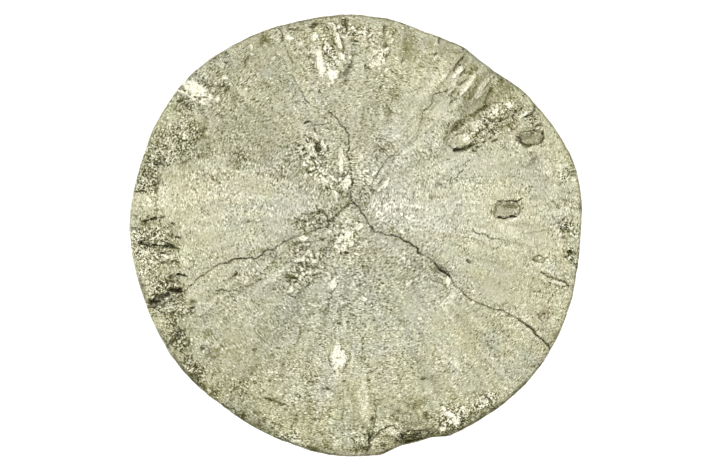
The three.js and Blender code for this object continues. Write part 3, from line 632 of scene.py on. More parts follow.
        (36.6, 1, 1.2, 1.6, 0, -.09), (-5.2, 5, 1.8, 1.2, 0, -.06), (34, 5, 2.2, 1.3, 0, -.04),
        (20.8, 20.8, 1.3, 1.2, 0, -.06), (29.2, 16, 1.3, 1.3, 0, -.05), (12.6, -31.8, 1.4, 1.2, 0, -.06),
        (-1.6, -37.4, 3.6, 1, 0, -.08), (.8, -32.4, 1.3, 1.3, 0, -.07), (16.6, -8.6, 1.4, 1.1, -40, -.07),
        (-34.2, -3.4, 1.5, 1.2, 0, -.07), (-17.2, 26.2, 1.8, 1.3, -30, -.06), (-29.2, -19, 1.4, 1.3, 0, -.07),
        (-25.6, -15, 1.5, 1.2, 0, -.05), (-16, -22, 6, 5, 0, -.015), (-5.2, 33, 1.7, 1.4, 0, -.1),
        (-.2, 36.6, 1.5, 1.2, 0, -.12), (-.2, 31, 1.2, 1.7, 0, -.07), (-14.8, 33.2, 1.5, 1.2, 0, -.08),
        (12.8, 29.6, 1.7, 1.3, 0, -.08), (15.8, 31.2, 1.3, 1.2, 0, -.1), (18, 27.2, 1.2, 1.5, 60, -.06),
        (6.4, 23.4, 1.4, 1.3, 0, -.06), (-8, 14.4, 1.5, 1.3, 0, -.08), (-5.6, 10.4, 1.6, 1.3, 0, -.1),
        (2.2, .8, 1.5, 1.3, 0, -.07), (2.6, -5.6, 2.6, 2.4, 0, -.05), (27, 25.6, 1.8, 1.2, -40, .1),
        (19.2, 20.6, 2, 1.2, 0, .08), (21.4, 23.6, 1.6, 1.2, 0, .05), (-1.8, 7.4, 1.2, 1.2, 0, .12),
        (-17.2, -1.5, 1.9, 1.4, 0, .06), (16.4, -7.4, 1.8, 1.1, -50, .08), (14.8, -10.5, 1.3, 1.3, 0, .08),
        (28, -5.4, 2.6, 1.8, 0, .06), (19.5, -1, 2, 1.5, 0, .06), (-3, -16.5, 2, 1.7, 0, .08),
        (3.4, -16.2, 1.6, 1.3, 0, .07), (-2, -28.8, 1.3, 2, 0, .12), (-.4, -35.2, 2.6, 1.2, 0, .15),
        (6.8, -34.4, 1.6, 1.4, 0, .12), (8.2, -37, 1.4, .9, 10, .15), (11.6, -36.8, 2, .8, 10, .12),
        (15.2, -33.2, 2.2, 1.2, 20, -.12), (-27, -26.4, 1.7, 1.1, -40, -.14),
        (-20.2, -31.8, 1.8, 1.1, -30, -.12), (-14, -33.2, 1.6, 1.2, 0, -.07),
        (24.2, -28.8, 1.6, 1.1, 30, -.1), (33.4, -17.4, 1.3, 1, 60, -.12), (12, -28.2, 1.6, 1.2, 0, -.06),
        (.2, -32.8, 1.3, 1.2, 0, -.09), (-31.4, 18, 5.6, 4.2, 5, -.035), (-36.4, 10.8, 2.4, 2.6, 0, -.035),
        (-35.4, .6, 3.6, 2.6, 0, -.03), (-25.8, 15, 2.6, 1.3, 88, -.06), (-36.6, 11, 1.5, 1.5, 75, .12),
        (-34.6, .4, 2, 1.5, 0, .07), (-37.3, -3, 2.6, 1.4, 85, .14), (-2.6, 10.2, 1.9, 1.6, 0, -.14),
        (-6.6, 11.4, 2.4, 1.6, -50, -.1), (-8.6, 13, 1.6, 1.3, 0, -.06), (-8.6, 17.2, 1.5, 1.3, 0, .08),
        (28, 23.4, 2, 1.1, 0, -.14), (15.4, -34.4, 2, 1.4, 20, -.16), (-15.5, 34, 2.2, 1.2, 25, -.12),
        (-5, 34.2, 2.2, 1.2, -20, -.1), (5.6, 32, 1.5, 1.5, 0, -.08), (.2, 32.2, 1.5, 1.6, 90, -.06),
        (36.2, 1, 1.4, 1.3, 0, -.09), (-34, -3, 1.6, 1.2, 0, -.05), (-27, 2, 3, 1.3, -10, -.06),
        (-9, -14, 1.9, 1.6, 0, -.08), (16.4, -24.6, 1.6, 1.4, 0, -.07), (-4, .6, 1.6, 1.3, 0, .08),
        (15.2, 1.4, 2.2, 1.5, 90, .08), (19.6, 16.6, 1.5, 1.4, 0, .1), (-13, -7.2, 3.2, 1.4, -10, .08),
        (-6.8, -4.2, 1.4, 1.9, 0, .08), (-6.8, -22.4, 1.6, 2, 0, .08), (-2, -24.6, 1.8, 3.4, 0, .06),
        (6.8, -34.6, 2.6, 1.2, -50, .1), (-31.6, -12.6, 2.2, 1.7, 0, .07), (-28.4, -23, 1.8, 1.3, -40, .1),
        (-32.2, -17, 1.4, 1.4, 0, .08), (17.4, -30.4, 1.4, 1.2, 0, .07), (13, 30, 2.2, 1.2, 0, -.06),
        (-7.6, 27.2, 1.6, 2.2, 0, .07), (3.4, 28, 1.6, 1.5, 0, .06), (28.2, 20.8, 1.5, 1.2, 0, .08),
        (-24, 27, 2.6, 1.4, 40, .08), (24, -2.2, 4, 1.3, -15, .06), (28, .6, 4, 1.3, -5, .05),
        (5.4, 14.6, 1.4, 1.2, 0, -.07), (-19, 12, 2.2, 1.4, 0, -.05), (-33.4, -8, 3.2, 2.2, 0, -.06),
        (-31.6, -13.6, 3.2, 1.8, -10, -.06), (-31, -18.5, 3.4, 1.8, 115, -.06),
    )
    rim_bands: tuple[tuple[float, float, float, float], ...] = (
        (300, 14, 1.2, .35), (286.5, 7, 2.2, .62), (240, 10, 1.9, .5), (220, 9, 1.3, .6), (208, 5, 1, .4),
        (260, 12, 1, .35), (276, 6, 1.2, .4), (193, 6, 1.4, .4), (55, 12, .7, .3), (75, 10, .6, .25),
        (15, 14, .6, .3), (100, 8, .6, .25),
    )
    tints: Patches = (
        (-17, -9.4, 8, 2.6, 15, -.38), (-11, -4.8, 4, 2.4, 20, -.22), (-18, -18.5, 5.5, 3.5, 0, -.36),
        (-13, -24, 3, 2.6, 0, -.25), (-19, -31, 6, 3, -30, -.32), (-2.5, -17.8, 5, 2.2, 0, -.36),
        (8.4, -19.8, 6.5, 2.4, 0, -.36), (-4.5, -26.5, 3.2, 7, 0, -.36), (-5, -36, 4, 2.4, 0, -.26),
        (-9, -27.5, 5, 5, 0, -.2), (12, -30.5, 2.6, 1.8, 0, -.25), (12, 31.2, 3, 2.4, 0, -.35),
        (8, 34.2, 3.6, 2.4, -10, -.22), (27.4, 26.2, 2.4, 1.8, -40, -.25), (-6.2, 30.2, 1.8, 1.6, 0, -.25),
        (-1.4, 1.8, 2.2, 2.2, 0, -.22), (-7, 2.4, 4, 1.8, 10, -.16), (6.6, -9, 3.4, 3, -50, -.2),
        (9, -13.4, 3, 3, 0, -.14), (32.6, -.6, 2, 1.6, 0, -.22), (17, -1.4, 2, 1.6, 0, -.14),
        (-17.4, -.4, 2, 1.6, 0, -.16), (-27.5, -.5, 3.2, 2.4, 0, -.1), (-26, -6.5, 2.6, 1.6, 0, -.2),
        (-20, 24, 4, 2.2, -30, -.1), (-14, 8, 4, 4, 0, .3), (-22, 10.2, 7, 2.6, 0, .16),
        (-36.6, 8, 3, 8, 0, .2), (-35.6, -3, 3, 4, 0, .2), (-33.4, -10, 3.4, 2.6, 0, .24),
        (36.8, -5.6, 2.2, 2.2, 0, .45), (29, 3.6, 3, 2.2, 0, .24), (29.5, 7.5, 4, 2.6, 0, .18),
        (14.2, 26, 4, 1.9, 20, .3), (20, 16, 2.8, 2.2, 0, .2), (27.4, -7.2, 2.2, 1.9, 0, .24),
        (20.4, -7, 3.4, 2.2, -20, .18), (1.6, -30, 1.9, 2.8, 0, .28), (16.6, -32.6, 2.8, 2.2, 0, .16),
        (24, 21.4, 1.8, 2.2, 0, .2), (-14.5, 31.5, 2.4, 4, 0, .14), (-27, 24.5, 2.2, 3.4, 20, .15),
        (31, -20, 2.4, 3.2, 0, .2), (21.5, -19, 3, 3.6, 0, .14), (28.6, 15, 2.2, 3.4, 0, .15),
        (17, 2.6, 2.2, 2.2, 0, .15), (-35, 15, 2.2, 3, 0, .15), (19.5, -17.5, 5, 3.4, -60, .6),
        (26, -20, 5, 4, 0, .2), (-31, 9.5, 6, 4, 0, .3), (-37.5, 6.6, 2, 2, 0, .4),
        (1.5, -27.5, 4, 1.3, 90, .5), (-14, -31, 5, 2.4, -20, .4), (-10, -34.3, 4, 1.8, -14, .45),
        (-3.2, -33.2, 2.4, 1.8, 0, -.4), (20.5, 29, 6, 3, -40, .35), (26, 24.5, 4, 3, -50, .45),
        (7, 34.8, 4.5, 2.4, -8, .35), (11, 32, 4, 2.6, 0, .3), (34, .5, 4, 2.4, 0, .3),
        (35.5, -12.5, 3, 3, 90, .3), (-32.6, 22, 4, 4, 0, .25), (-8, 35.5, 4, 2, 5, .3),
        (8, 5, 8, 6, -15, -.45), (15, 2.5, 6, 5, 0, -.3), (-4, -9.5, 7, 6, 0, -.4), (3, -13, 8, 7, 0, -.35),
        (-12, -15.5, 8, 6, 20, -.4), (12, -9, 6, 4, -30, -.35), (-24, -14, 7, 5, 30, -.25),
        (-16, 4.5, 8, 3, 5, -.15), (14, -18.5, 3, 2.4, -50, -.4), (23.5, -18, 3.4, 1.6, -40, -.4),
        (-26, -24, 6, 4, -50, .2), (20, 12, 6, 5, 0, -.1), (-17, 8.5, 4.6, 1.8, -10, .45),
        (-25, 10, 2.6, 2.4, 0, .3), (-18, -14, 5.4, 3.2, 80, -.5), (11, -16, 4.8, 3.8, 90, -.6),
        (1, -24, 3.4, 1.8, 20, -.6), (-4, -34, 2.4, 1.8, 0, -.4), (-13, -22, 2.6, 2.2, 0, -.35),
        (2, -20, 5, 2.4, 0, -.35), (-20, -31, 2.6, 1.6, -30, -.4), (12, 34, 3, 1.8, 90, -.5),
        (-5, 30.5, 2.4, 1.8, 0, -.3), (-23, -6, 4.4, 2.2, 0, -.3), (-7, -20, 2.6, 2.2, 0, -.25),
        (31, .7, 2.4, 1.3, 0, -.4), (20, 10.5, 2, 1.8, 0, -.2), (-15, -3, 3, 2, 0, -.2),
        (14, 6.5, 2.4, 1.8, 0, -.2), (22, 3.5, 2.4, 1.8, 0, -.2), (-8, -28, 3.4, 2.2, 0, -.3),
        (-30, 1, 2.4, 2.2, 0, -.15), (29, 6.4, 2.8, 2.2, 90, .7), (19, 26.5, 3.4, 2.2, 20, .4),
        (2, -29.5, 2.8, 1.6, 90, .4), (8, -30, 2.4, 1.8, 90, .3), (22, -16.5, 3.4, 2.8, 0, .35),
        (-12, -34.8, 4.4, 1.8, -15, .4), (-28, -18.5, 2.8, 2.2, 90, .25), (-36, 9, 3.2, 1.8, 90, .45),
        (-34, -10, 2.6, 2.2, 0, .2), (37, -2, 6, 1.4, 90, .35), (31, 22, 3.2, 1.8, 100, .3),
        (0, 35.5, 4.4, 2.2, 0, .35), (16, -31.5, 2.4, 1.5, 20, .3), (24, -8, 3.4, 2.2, -20, .2),
        (16.5, 3.5, 1.8, 1.5, 90, .3), (19.5, 16.5, 2.4, 1.5, 20, .25), (10, -9, 3.6, 1.8, 0, .2),
        (-11, 30, 5.2, 2.8, 120, .2), (3, 13, 3.4, 3.2, 0, .12), (-31, -22, 4, 2, 125, .2),
    )
    warmths: Patches = (
        (36.4, -5.6, 2.2, 2.2, 0, .55), (12, 26.4, 2.6, 1.9, 0, .4), (-18.5, 9.6, 4.6, 2, -8, .38),
        (16.6, -15.6, 2, 2.8, 0, .42), (12.5, -11.5, 3.4, 3.4, 0, .22), (31.6, -19.6, 2.6, 3.2, 30, .4),
        (-1.6, 33.4, 2.2, 3, 0, .35), (2, -31, 1.8, 2.6, 0, .34), (15.6, -33.4, 3, 2, 0, .3),
        (23.6, 24, 2.2, 3, 0, .36), (-7.4, 17.6, 2.2, 2.2, 0, .28), (-34, 14.6, 2.2, 2.2, 0, .3),
        (-29.8, 19, 1.8, 2.2, 0, .25), (20, -10.6, 4, 1.8, -20, .2), (30, -10, 2.2, 2.4, 0, .24),
        (-33, 4.4, 2.6, 2.2, 0, .26), (27, 2.2, 2, 2, 0, .28), (-20, -3.4, 2, 2.6, 0, .22),
        (33, 20, 2, 4, -40, .18), (19, -22, 2.2, 2.4, 0, .2), (-22.6, -9.6, 4.6, 2, -15, -.45),
        (-13, -6, 5, 2.2, -10, -.4), (-3, -30.4, 1.8, 2, 0, -.5), (-2, -34, 1.8, 2.2, 0, -.3),
        (-15.6, -20.6, 4, 2.2, 0, -.35), (26.6, 21, 2, 1.8, 0, -.45), (33, -15.4, 2.2, 1.8, 0, -.45),
        (36.4, 11.6, 1.8, 3.2, 0, -.3), (12.4, 31.4, 1.8, 1.8, 0, -.3), (17, -1.6, 2.8, 1.8, 0, -.25),
        (24.6, -7.6, 2.2, 1.8, 0, -.32), (-28.5, 8.4, 3.4, 1.8, 0, -.25), (-25, 2.4, 3.2, 1.8, 20, -.2),
        (-5, 31.6, 1.3, 2, 0, -.3), (-34, -6.8, 1.8, 1.8, 0, -.25), (4, -33, 1.8, 2.2, 0, -.3),
        (-27.6, 26.6, 2.2, 1.6, 40, -.24), (-31.6, -20, 1.8, 2.8, 0, -.25), (27, 10.5, 2.2, 1.6, 0, -.2),
        (25, -20, 2, 1.8, 0, -.2), (4.5, 34.5, 5.5, 3.2, 0, .8), (17, 28.5, 8, 4.4, -20, .55),
        (27, 21, 6, 4.5, -60, .45), (-27, 8, 12, 4.2, -8, .5), (-34.5, 7, 3, 3.6, 0, .2),
        (35.5, -2, 2.8, 4.5, 0, .6), (32.5, -14.5, 4.5, 3.4, -60, .7), (20, -17.5, 4.6, 2.4, -60, .6),
        (2, -29.5, 3.6, 1.6, 90, .5), (9, -29.5, 3, 1.8, 90, .35), (17, -31, 3, 2, 20, .4),
        (-13.4, 18.5, 3.2, 1.8, 90, .5), (-5.5, 32, 3.6, 3.8, 0, .3), (-13, 32, 2.2, 2, 0, .3),
        (-18.5, 29, 2.4, 1.6, 0, .35), (29, 5, 4.4, 3, 0, .35), (20, 16.8, 2, 1.8, 0, .35),
        (-33, -3.5, 2.4, 1.8, 0, .25), (8, 8, 9, 9, 0, .1), (-10, 3, 9, 4, 0, .12), (0, -14, 24, 10, 0, -.3),
        (-28.5, -16, 6, 4, 60, -.25), (-20, -31, 5, 2.4, -30, -.3), (-3, -33, 3, 3, 0, -.35),
        (16.5, -3.5, 2.8, 1.8, 90, -.25), (-22, 1.5, 4, 1.4, -10, -.3), (-28, 26, 4.4, 2, 40, -.3),
        (-7.5, -7.5, 4, 2, -40, -.15), (24, -9, 8, 4, -30, .1), (28, -5, 3, 2.4, 0, .2),
        (-20, 19, 6, 5, 0, -.1),
    )
    calms: Patches = (
        (6, -28, 12, 6, 0, -.18), (3, -34, 8, 3, 0, -.15), (13, -20, 7, 6, 0, -.12), (-18, 22, 6, 8, 0, -.1),
        (9.4, 32, 2.6, 5, 0, -.5), (-16, 30, 4, 5, 0, -.2), (3, 24.5, 5, 3.6, 0, -.2),
        (-3, 24, 4, 2.6, 0, -.15), (17.5, 32, 9, 3.6, -38, -.6), (26, 26.5, 3.4, 2.4, -50, -.5),
        (11, 23.5, 10, 6.5, 60, -.4), (21.5, 24.5, 5, 3.4, 55, -.4), (-20, -19, 13, 9, -50, -.22),
        (-26, -11, 6, 3.5, 25, -.3), (22, -6, 9, 3.6, -30, -.4), (27, -11, 7, 2.6, -30, -.2),
        (20, -20, 10, 8, -50, -.15), (24, 12, 7, 4, 0, -.2), (-18, 2.4, 8, 1.2, 2, -.3),
        (-26, .5, 5, 3, 0, -.2), (7.5, 4.5, 7.5, 5.5, -15, .45), (-19, 5.8, 9, 2.6, -5, .3),
        (-28, 9, 5, 4, 0, .2), (-1, -9, 10, 8, 90, .3), (-19, 18, 9, 6, -30, .1), (0, 11, 6, 5, 0, .25),
        (4, -33, 10, 3.5, 0, -.1), (-11, -33.5, 6, 2.6, -15, 0), (2, -30, 13, 7, 0, -.15),
        (34, 9, 4, 4, 0, -.2), (30.7, 17.4, 2.4, 1.6, 10, -.7), (26.8, 4.6, 2.4, 1.4, 5, -.7),
        (8, -6, 5, 4, 0, .15),
    )
    # Streaks partly of painted light and shade: lit tops and shaded edges of ridges and ledges.
    rays: Patches = (
        (-8.4, -25.7, -7.2, -26, .34, -.4), (-8.6, -31.1, -7.4, -31.6, .34, -.4),
        (-10.6, -28.4, -9.3, -28.9, .32, -.35), (-.2, -27.1, .7, -26.8, .34, -.45),
        (1, -27.2, 1.9, -27, .32, -.4), (2.3, -25, 2.4, -26.5, .32, -.4), (6, -28.3, 7.6, -28.8, .32, -.35),
        (7.4, -26.9, 8.6, -27.2, .32, -.35), (9.4, -28.7, 10.6, -29.3, .32, -.35),
        (5.4, -31.5, 6.8, -31.4, .32, -.3), (-6, -31.6, -4.8, -31.9, .32, -.35),
        (-6.8, -34.3, -5.4, -34.8, .34, -.4), (-4.4, -30.2, -3.2, -30, .3, -.3),
        (.2, -33.5, 1.6, -33.9, .34, -.4), (-.8, -35.9, .8, -35.6, .34, -.4),
        (4.6, -37, 6.1, -36.5, .34, -.4), (6.4, -36.9, 7.7, -36.4, .34, -.4),
        (10, -33.4, 11.6, -33.1, .34, -.4), (7.2, -32.4, 8.8, -32.9, .32, -.35),
        (3, -37.2, 4.6, -37, .32, -.35), (1.4, -36.6, -1.6, -34.8, .5, .14),
        (3.4, -36.6, 4.6, -34.8, .5, .16), (4.6, -34.8, 7.2, -34.8, .45, .14),
        (2.4, -34.6, 3.4, -31.6, .4, -.16), (2.2, -38, 8.2, -36.8, .35, -.22),
        (-8, -37.4, 1.6, -38.4, .3, -.16), (1.8, -26, 2.4, -33, .4, .18), (-1.8, -28, -1.4, -33.4, .35, -.1),
        (4.2, -31.2, 9, -32.2, .3, -.16), (5, -29.6, 9.6, -30.2, .3, .12), (4.6, -32.9, 9.2, -33.8, .3, .1),
        (12.4, -33.8, 17.6, -33.4, .4, -.2), (12.7, -17.6, 14.9, -20, .35, .14),
        (14.9, -20, 18.6, -23.6, .4, .28), (21.2, -19.6, 24.7, -22.9, .35, .26),
        (24.7, -22.9, 27.5, -26.2, .35, .3), (24.2, -18.5, 26.6, -21.3, .3, .2),
        (15.8, -14.1, 17, -18.6, .5, .14), (9.2, -24.7, 11.5, -28.4, .4, .2),
        (12.3, -27.3, 14.4, -30, .35, .28), (14.4, -30, 16, -32.4, .4, .34),
        (16.7, -25.6, 18.6, -28.4, .35, .22), (22.9, -25.6, 25.7, -27.8, .3, .22),
        (20, -24, 22.6, -27.4, .3, .2), (18.3, -20.9, 22, -25.3, .45, -.13),
        (20.3, -15.4, 25, -19.2, .5, -.16), (13.6, -20.4, 16.8, -24.2, .4, -.14),
        (10.6, -25, 13.2, -29, .4, -.16), (16, -27.8, 17.8, -30.6, .35, -.16),
        (23.6, -22.8, 26.4, -25.8, .35, -.14), (27, -19.5, 30, -22.2, .35, .16),
        (28.6, -18.6, 31.8, -21, .35, -.14), (26.5, -15.5, 30.4, -17.8, .4, .12),
        (30, -12.5, 35, -14.6, .4, .1), (6, -22, 8, -29, .4, .12), (4.2, -22, 5, -28, .4, -.1),
        (12, 8.5, 22, 10.6, .4, -.12), (14, 6.4, 24, 7.6, .4, .1), (21, 12.6, 30, 15.4, .5, .12),
        (24, 10.4, 36, 12.4, .5, -.12), (26, 2, 37, 1.4, .45, -.12), (30, 3.6, 38, 4, .4, .12),
        (20, -1.8, 34, -5.6, .4, .12), (22, -4, 34, -9, .45, -.1), (30, 8, 38, 8.6, .4, .1),
        (-11, 9, -30, 13.4, .5, .1), (-8, 2.6, -25, 2.2, .4, -.14), (-10, 6.6, -30, 7.6, .4, .08),
        (-9, -3.6, -17, -9.2, .45, .16), (-17, -9.2, -24, -14, .5, .1), (-17.5, -13.5, -18.8, -18.8, .5, .12),
        (-9.5, -24, -10.4, -27.4, .35, .2), (-3.3, -3.5, -3.2, -19, .5, .1),
        (-3.6, -24.6, -4.4, -28, .35, .16), (-5.2, -10, -8.4, -19, .4, .08), (-22, 27.2, -17.4, 22.8, .3, .2),
        (3, 9.6, 10.5, 16.2, .45, .22), (10.5, 16.2, 15, 22, .5, .05), (1.6, 10, 5, 17, .5, -.14),
        (.8, 18, 2.4, 28, .4, -.08), (-2.6, 21, -4.4, 27, .4, -.08), (17.2, 27.8, 19, 30.2, .35, .26),
        (20.6, 24, 22.6, 27.6, .3, .2), (16.2, 21.6, 19.4, 25.6, .4, .16), (17.4, 24.9, 20.7, 27.9, .5, .28),
        (16.7, 24.4, 18.6, 28.6, .3, -.2), (17.8, 21.9, 21.6, 28, .32, -.24),
        (22.5, 22.7, 24, 27.1, .32, -.24), (23.2, 23.5, 25.6, 28, .35, .12), (24.7, 24.4, 26.4, 28, .32, -.2),
        (18, 19.6, 23, 22.9, .45, -.24), (13.2, 23.6, 17.4, 28.2, .5, .12), (10.4, 26, 13, 31, .4, .12),
        (6.4, 24, 8, 30, .4, .1), (-24, -24.5, -27.6, -28, .4, .14), (-19, -25, -22, -29.6, .4, -.12),
        (-14, -22, -16.4, -27.6, .4, .1), (-11.6, -28, -12.6, -33, .4, -.1),
        (-25.6, -18.2, -29, -20.6, .35, .12),
    )
    glitter: tuple[Oval, ...] = (
        Oval(-5.2, 31.5, 4.8, 4.2, 90, 1), Oval(4, 31.6, 3.4, 2.4, 70, 1), Oval(-7.8, 14, 3.6, 3, 110, 1),
        Oval(-2.2, 9.5, 4.2, 2.6, 100, .4), Oval(-1.8, -.6, 3.4, 2.4, 60, 1), Oval(-8.8, -5, 4.6, 3, 95, .5),
        Oval(17.3, -31.8, 3.4, 2.2, 20, 1), Oval(-28.5, 25, 4, 2.6, -35, .8),
        Oval(-34, -10.8, 2.6, 1.4, 20, .6), Oval(22.9, -29, 2.4, 1.4, 20, .8),
        Oval(-35.8, .5, 4, 3.6, 0, .45), Oval(-6.2, 11.2, 5.4, 2.4, -52, .9), Oval(8, 3.6, 6.5, 5, -10, .45),
        Oval(5, 4.4, 3.6, 2.8, -15, .8), Oval(2.4, 10.5, 3, 2.4, 60, .6), Oval(-34, -4, 4, 2.2, 0, .7),
        Oval(-18.5, 4.5, 7, 3.6, 0, .25), Oval(22.4, 18.4, 3.4, 2.2, 25, .6), Oval(26, 22.8, 4, 2.4, 30, .5),
        Oval(-35.5, 6, 3.6, 2.6, 0, .5), Oval(37, .5, 2, 3, 0, .5), Oval(-31.5, 18, 5.5, 4.5, 0, .2),
        Oval(0, 36, 8, 2, 0, .5), Oval(-30.5, -17.5, 4, 2.4, 120, .4),
    )
    cracks: tuple[Crack, ...] = (
        Crack(((-13.5, 36.8), (-12.9, 35.2), (-12.8, 34.2)), .8, .11),
        Crack(((-12.8, 34.2), (-12.1, 32.4)), .35), Crack(((-12.1, 32.4), (-11.7, 31.6), (-11.2, 30.4)), .7),
        Crack(((-11.2, 30.4), (-11.1, 28.1)), .3),
        Crack(((-11.1, 28.1), (-10.4, 26.4), (-9.5, 25), (-9.1, 24.2)), .4),
        Crack(((-9.1, 24.2), (-8.3, 23.1)), .8), Crack(((-8.3, 23.1), (-6.7, 22.2), (-4.7, 21.9)), .15),
        Crack(((-4.7, 21.9), (-4.2, 21.1), (-3.5, 20.4), (-3, 19.5), (-2, 19)), .85, .11),
        Crack(((-2, 19), (-1.5, 18), (-1.3, 17), (-1.4, 16.2)), .95, .13),
        Crack(((-1.4, 16.2), (-1.2, 15.3)), .7),
        Crack(((-1.2, 15.3), (-1.5, 14.6), (-1.3, 13.8), (-1.2, 13.3)), .8, .11),
        Crack(((-1.2, 13.3), (-1, 12), (-.8, 9.6)), .5),
        Crack(((-.8, 9.6), (-.9, 8), (-1.1, 7), (-.7, 6), (-.2, 5.5)), .75, .11),
        Crack(((-.2, 5.5), (-1.2, 5.5), (-2.1, 4.9), (-2.9, 4.1), (-3.6, 3.4), (-4.2, 2.5), (-4.8, 2.3),
            (-5.1, 1.6)), .65, .15), Crack(((-5.1, 1.6), (-6.2, 1.2), (-8, .7), (-9.6, 0), (-11, -.3)), .5),
        Crack(((-11, -.3), (-12.6, -1.2), (-13.7, -1.9), (-14.5, -2.7), (-15.2, -2.5), (-15.9, -2.6)), .8),
        Crack(((-15.9, -2.6), (-16.5, -3.3), (-17.8, -4), (-19.4, -4.1), (-20.8, -4.1), (-22, -4.3),
            (-22.6, -4.7), (-23.2, -5)), .85, .15),
        Crack(((-23.2, -5), (-24.2, -5), (-25, -5.6), (-25.7, -6.1), (-26.5, -6.8), (-27.5, -7.5),
            (-28.4, -8.4), (-29.3, -8.9), (-29.8, -9.4), (-30.2, -9.8), (-31, -9.9)), .7),
        Crack(((-30.8, -9.6), (-32.4, -9.8), (-34.2, -10.9), (-36.2, -11.8)), .85, .45),
        Crack(((-.2, 5.5), (.5, 4.9), (1, 4.1), (1.7, 3), (2.3, 2), (2.8, 1.1)), .9, .11),
        Crack(((2.8, 1.1), (3.6, .6), (5, .3), (6.2, .1)), .6),
        Crack(((6.2, .1), (7.4, -.3), (8.3, -.9), (9.2, -1.3), (9.8, -1.7), (10.6, -2.3), (10.9, -3.1),
            (11.4, -3.4)), .9, .16), Crack(((11.4, -3.4), (12.1, -3.5), (12.8, -4.1), (13.6, -4.8)), .6),
        Crack(((13.6, -4.8), (14.3, -5.6), (14.8, -6.1), (15.3, -6.4), (16.2, -6.9), (16.5, -7.4)), .9, .2),
        Crack(((16.5, -7.4), (17.3, -8.6), (18.6, -9.8)), .55),
        Crack(((18.6, -9.8), (19.2, -10.6), (20.2, -11.4)), .8),
        Crack(((20.2, -11.4), (21.5, -11.8), (22.2, -12.1), (23.2, -12.6), (24.7, -13), (25.4, -13.1)), .75),
        Crack(((25.4, -13.1), (26.2, -13.4), (27.3, -13.9), (28, -14.3), (28.5, -14.9)), .65),
        Crack(((28.5, -14.9), (29.5, -15.5), (31, -16.5), (31.5, -17.3), (32.6, -18.2), (33.6, -19.2),
            (34.6, -20.2)), .95, .18),
        Crack(((3.3, 9.9), (3.7, 10.3), (4.1, 11.5), (4.7, 12.3), (5.3, 13.3)), .65),
        Crack(((5.3, 13.3), (6.2, 14), (7.3, 14.1)), .6), Crack(((7.3, 14.1), (9.2, 16), (10.2, 16.7)), .15),
        Crack(((10.2, 16.7), (10.9, 17.5), (11, 18.6), (11.4, 19.5), (11.5, 20.5)), .4),
        Crack(((11.5, 20.5), (11.7, 21.4), (12.2, 22.1), (12.9, 22.7), (13.2, 23.3)), .6),
        Crack(((13.2, 23.3), (13.5, 24.5), (14.3, 24.9), (15.5, 25.3), (16.3, 25.6), (17, 26.2)), .55),
        Crack(((16, 9.3), (16.2, 9.7), (17, 9.9), (17.6, 10.3)), .7),
        Crack(((17.6, 10.3), (18.3, 10.9), (18.9, 11.5), (18.9, 12.3), (19.2, 12.9), (20, 13.1)), .5),
        Crack(((17.6, 10.2), (20, 10.3), (22, 10.3), (24, 10.5)), .25),
        Crack(((20.4, 1.4), (20.5, .9), (21, .5), (21.7, .2), (22.3, .2), (23.1, -.1)), .65),
        Crack(((23.1, -.1), (23.8, -.6), (25.4, -.7)), .5),
        Crack(((25.4, -.7), (27.5, -1.2), (31.7, -2.1)), .3),
        Crack(((28.8, .8), (29.7, .5), (31, .4), (31.7, .7), (33, .8), (34.2, .9)), .45),
        Crack(((32.6, -6.4), (33.5, -6.9), (34.6, -7.5), (35.7, -7.9), (36.7, -8.1), (37.4, -8.7)), .75, .17),
        Crack(((33.8, -8), (34.7, -8.4), (35.6, -8.9), (36.6, -9), (37.4, -8.7)), .5),
        Crack(((12.7, -7.6), (13.6, -7.8), (14.3, -8.2), (15, -8.4), (15.7, -8.7)), .55),
        Crack(((17.2, 15), (18.3, 15.05), (19.2, 15.4), (20.3, 16.1)), 1, .36),
        Crack(((16, 16.1), (16.8, 15.5), (17.2, 15.1)), .6), Crack(((18.7, 14.8), (19.4, 15.1)), .8),
        Crack(((29.8, 21), (31.3, 21.6), (31.4, 22.6), (31.6, 23.3)), .8, .16),
        Crack(((31.2, 21.3), (31, 20.4)), .5), Crack(((32.7, 18.6), (32.95, 17.3), (32.3, 16.2)), .8, .18),
        Crack(((29.5, 16.1), (30.2, 15.8), (31, 15.9), (32.2, 16.2)), .6, .17),
        Crack(((28.1, 17.5), (28.7, 17.2), (29.4, 16.3)), .7, .17),
        Crack(((25, 3.1), (26.4, 3.1), (27.2, 3.4), (28.1, 3.4)), 1, .22),
        Crack(((28.1, 3.4), (29, 4.2), (29.2, 4.9)), .6), Crack(((23.7, 5.4), (24.5, 5.6), (25.2, 6.1)), .5),
        Crack(((25.2, 6.1), (26.5, 6), (27.6, 6.1), (28.3, 6), (29, 6.5)), .7, .17),
        Crack(((2.9, -27.7), (3.2, -28.9), (3.3, -29.6)), .4),
        Crack(((3.3, -29.6), (3.6, -30.2), (3.4, -31.2), (3.5, -31.9), (3, -33), (2.9, -35)), .6),
        Crack(((3.3, -29.2), (3.7, -28.9), (4.3, -29.1), (5.1, -28.7)), .5),
        Crack(((8.3, -36.2), (7.9, -34.6), (6.6, -33.7), (5.4, -33.8), (4.1, -34.5), (3, -35.8),
            (2.6, -36.4)), .7, .13), Crack(((2.9, -35), (2.2, -36), (2.5, -37), (1.9, -37.8)), .8, .2),
        Crack(((3.8, -29.5), (5.6, -30.4), (7, -30.9), (8.8, -31.2)), .3),
        Crack(((-2.3, -27.3), (-2.1, -30.4), (-2.6, -31.8), (-1.9, -34.4), (-.1, -36.2), (2, -38)), .3),
        Crack(((4.4, -32.1), (6, -32.2), (8.4, -33)), .3),
        Crack(((8.2, -29.1), (9.6, -30.4), (10.9, -31.8), (11.4, -33.5)), .3),
        Crack(((3.6, -35.6), (5, -35.2), (6.6, -35.6), (7.6, -36.4)), .5),
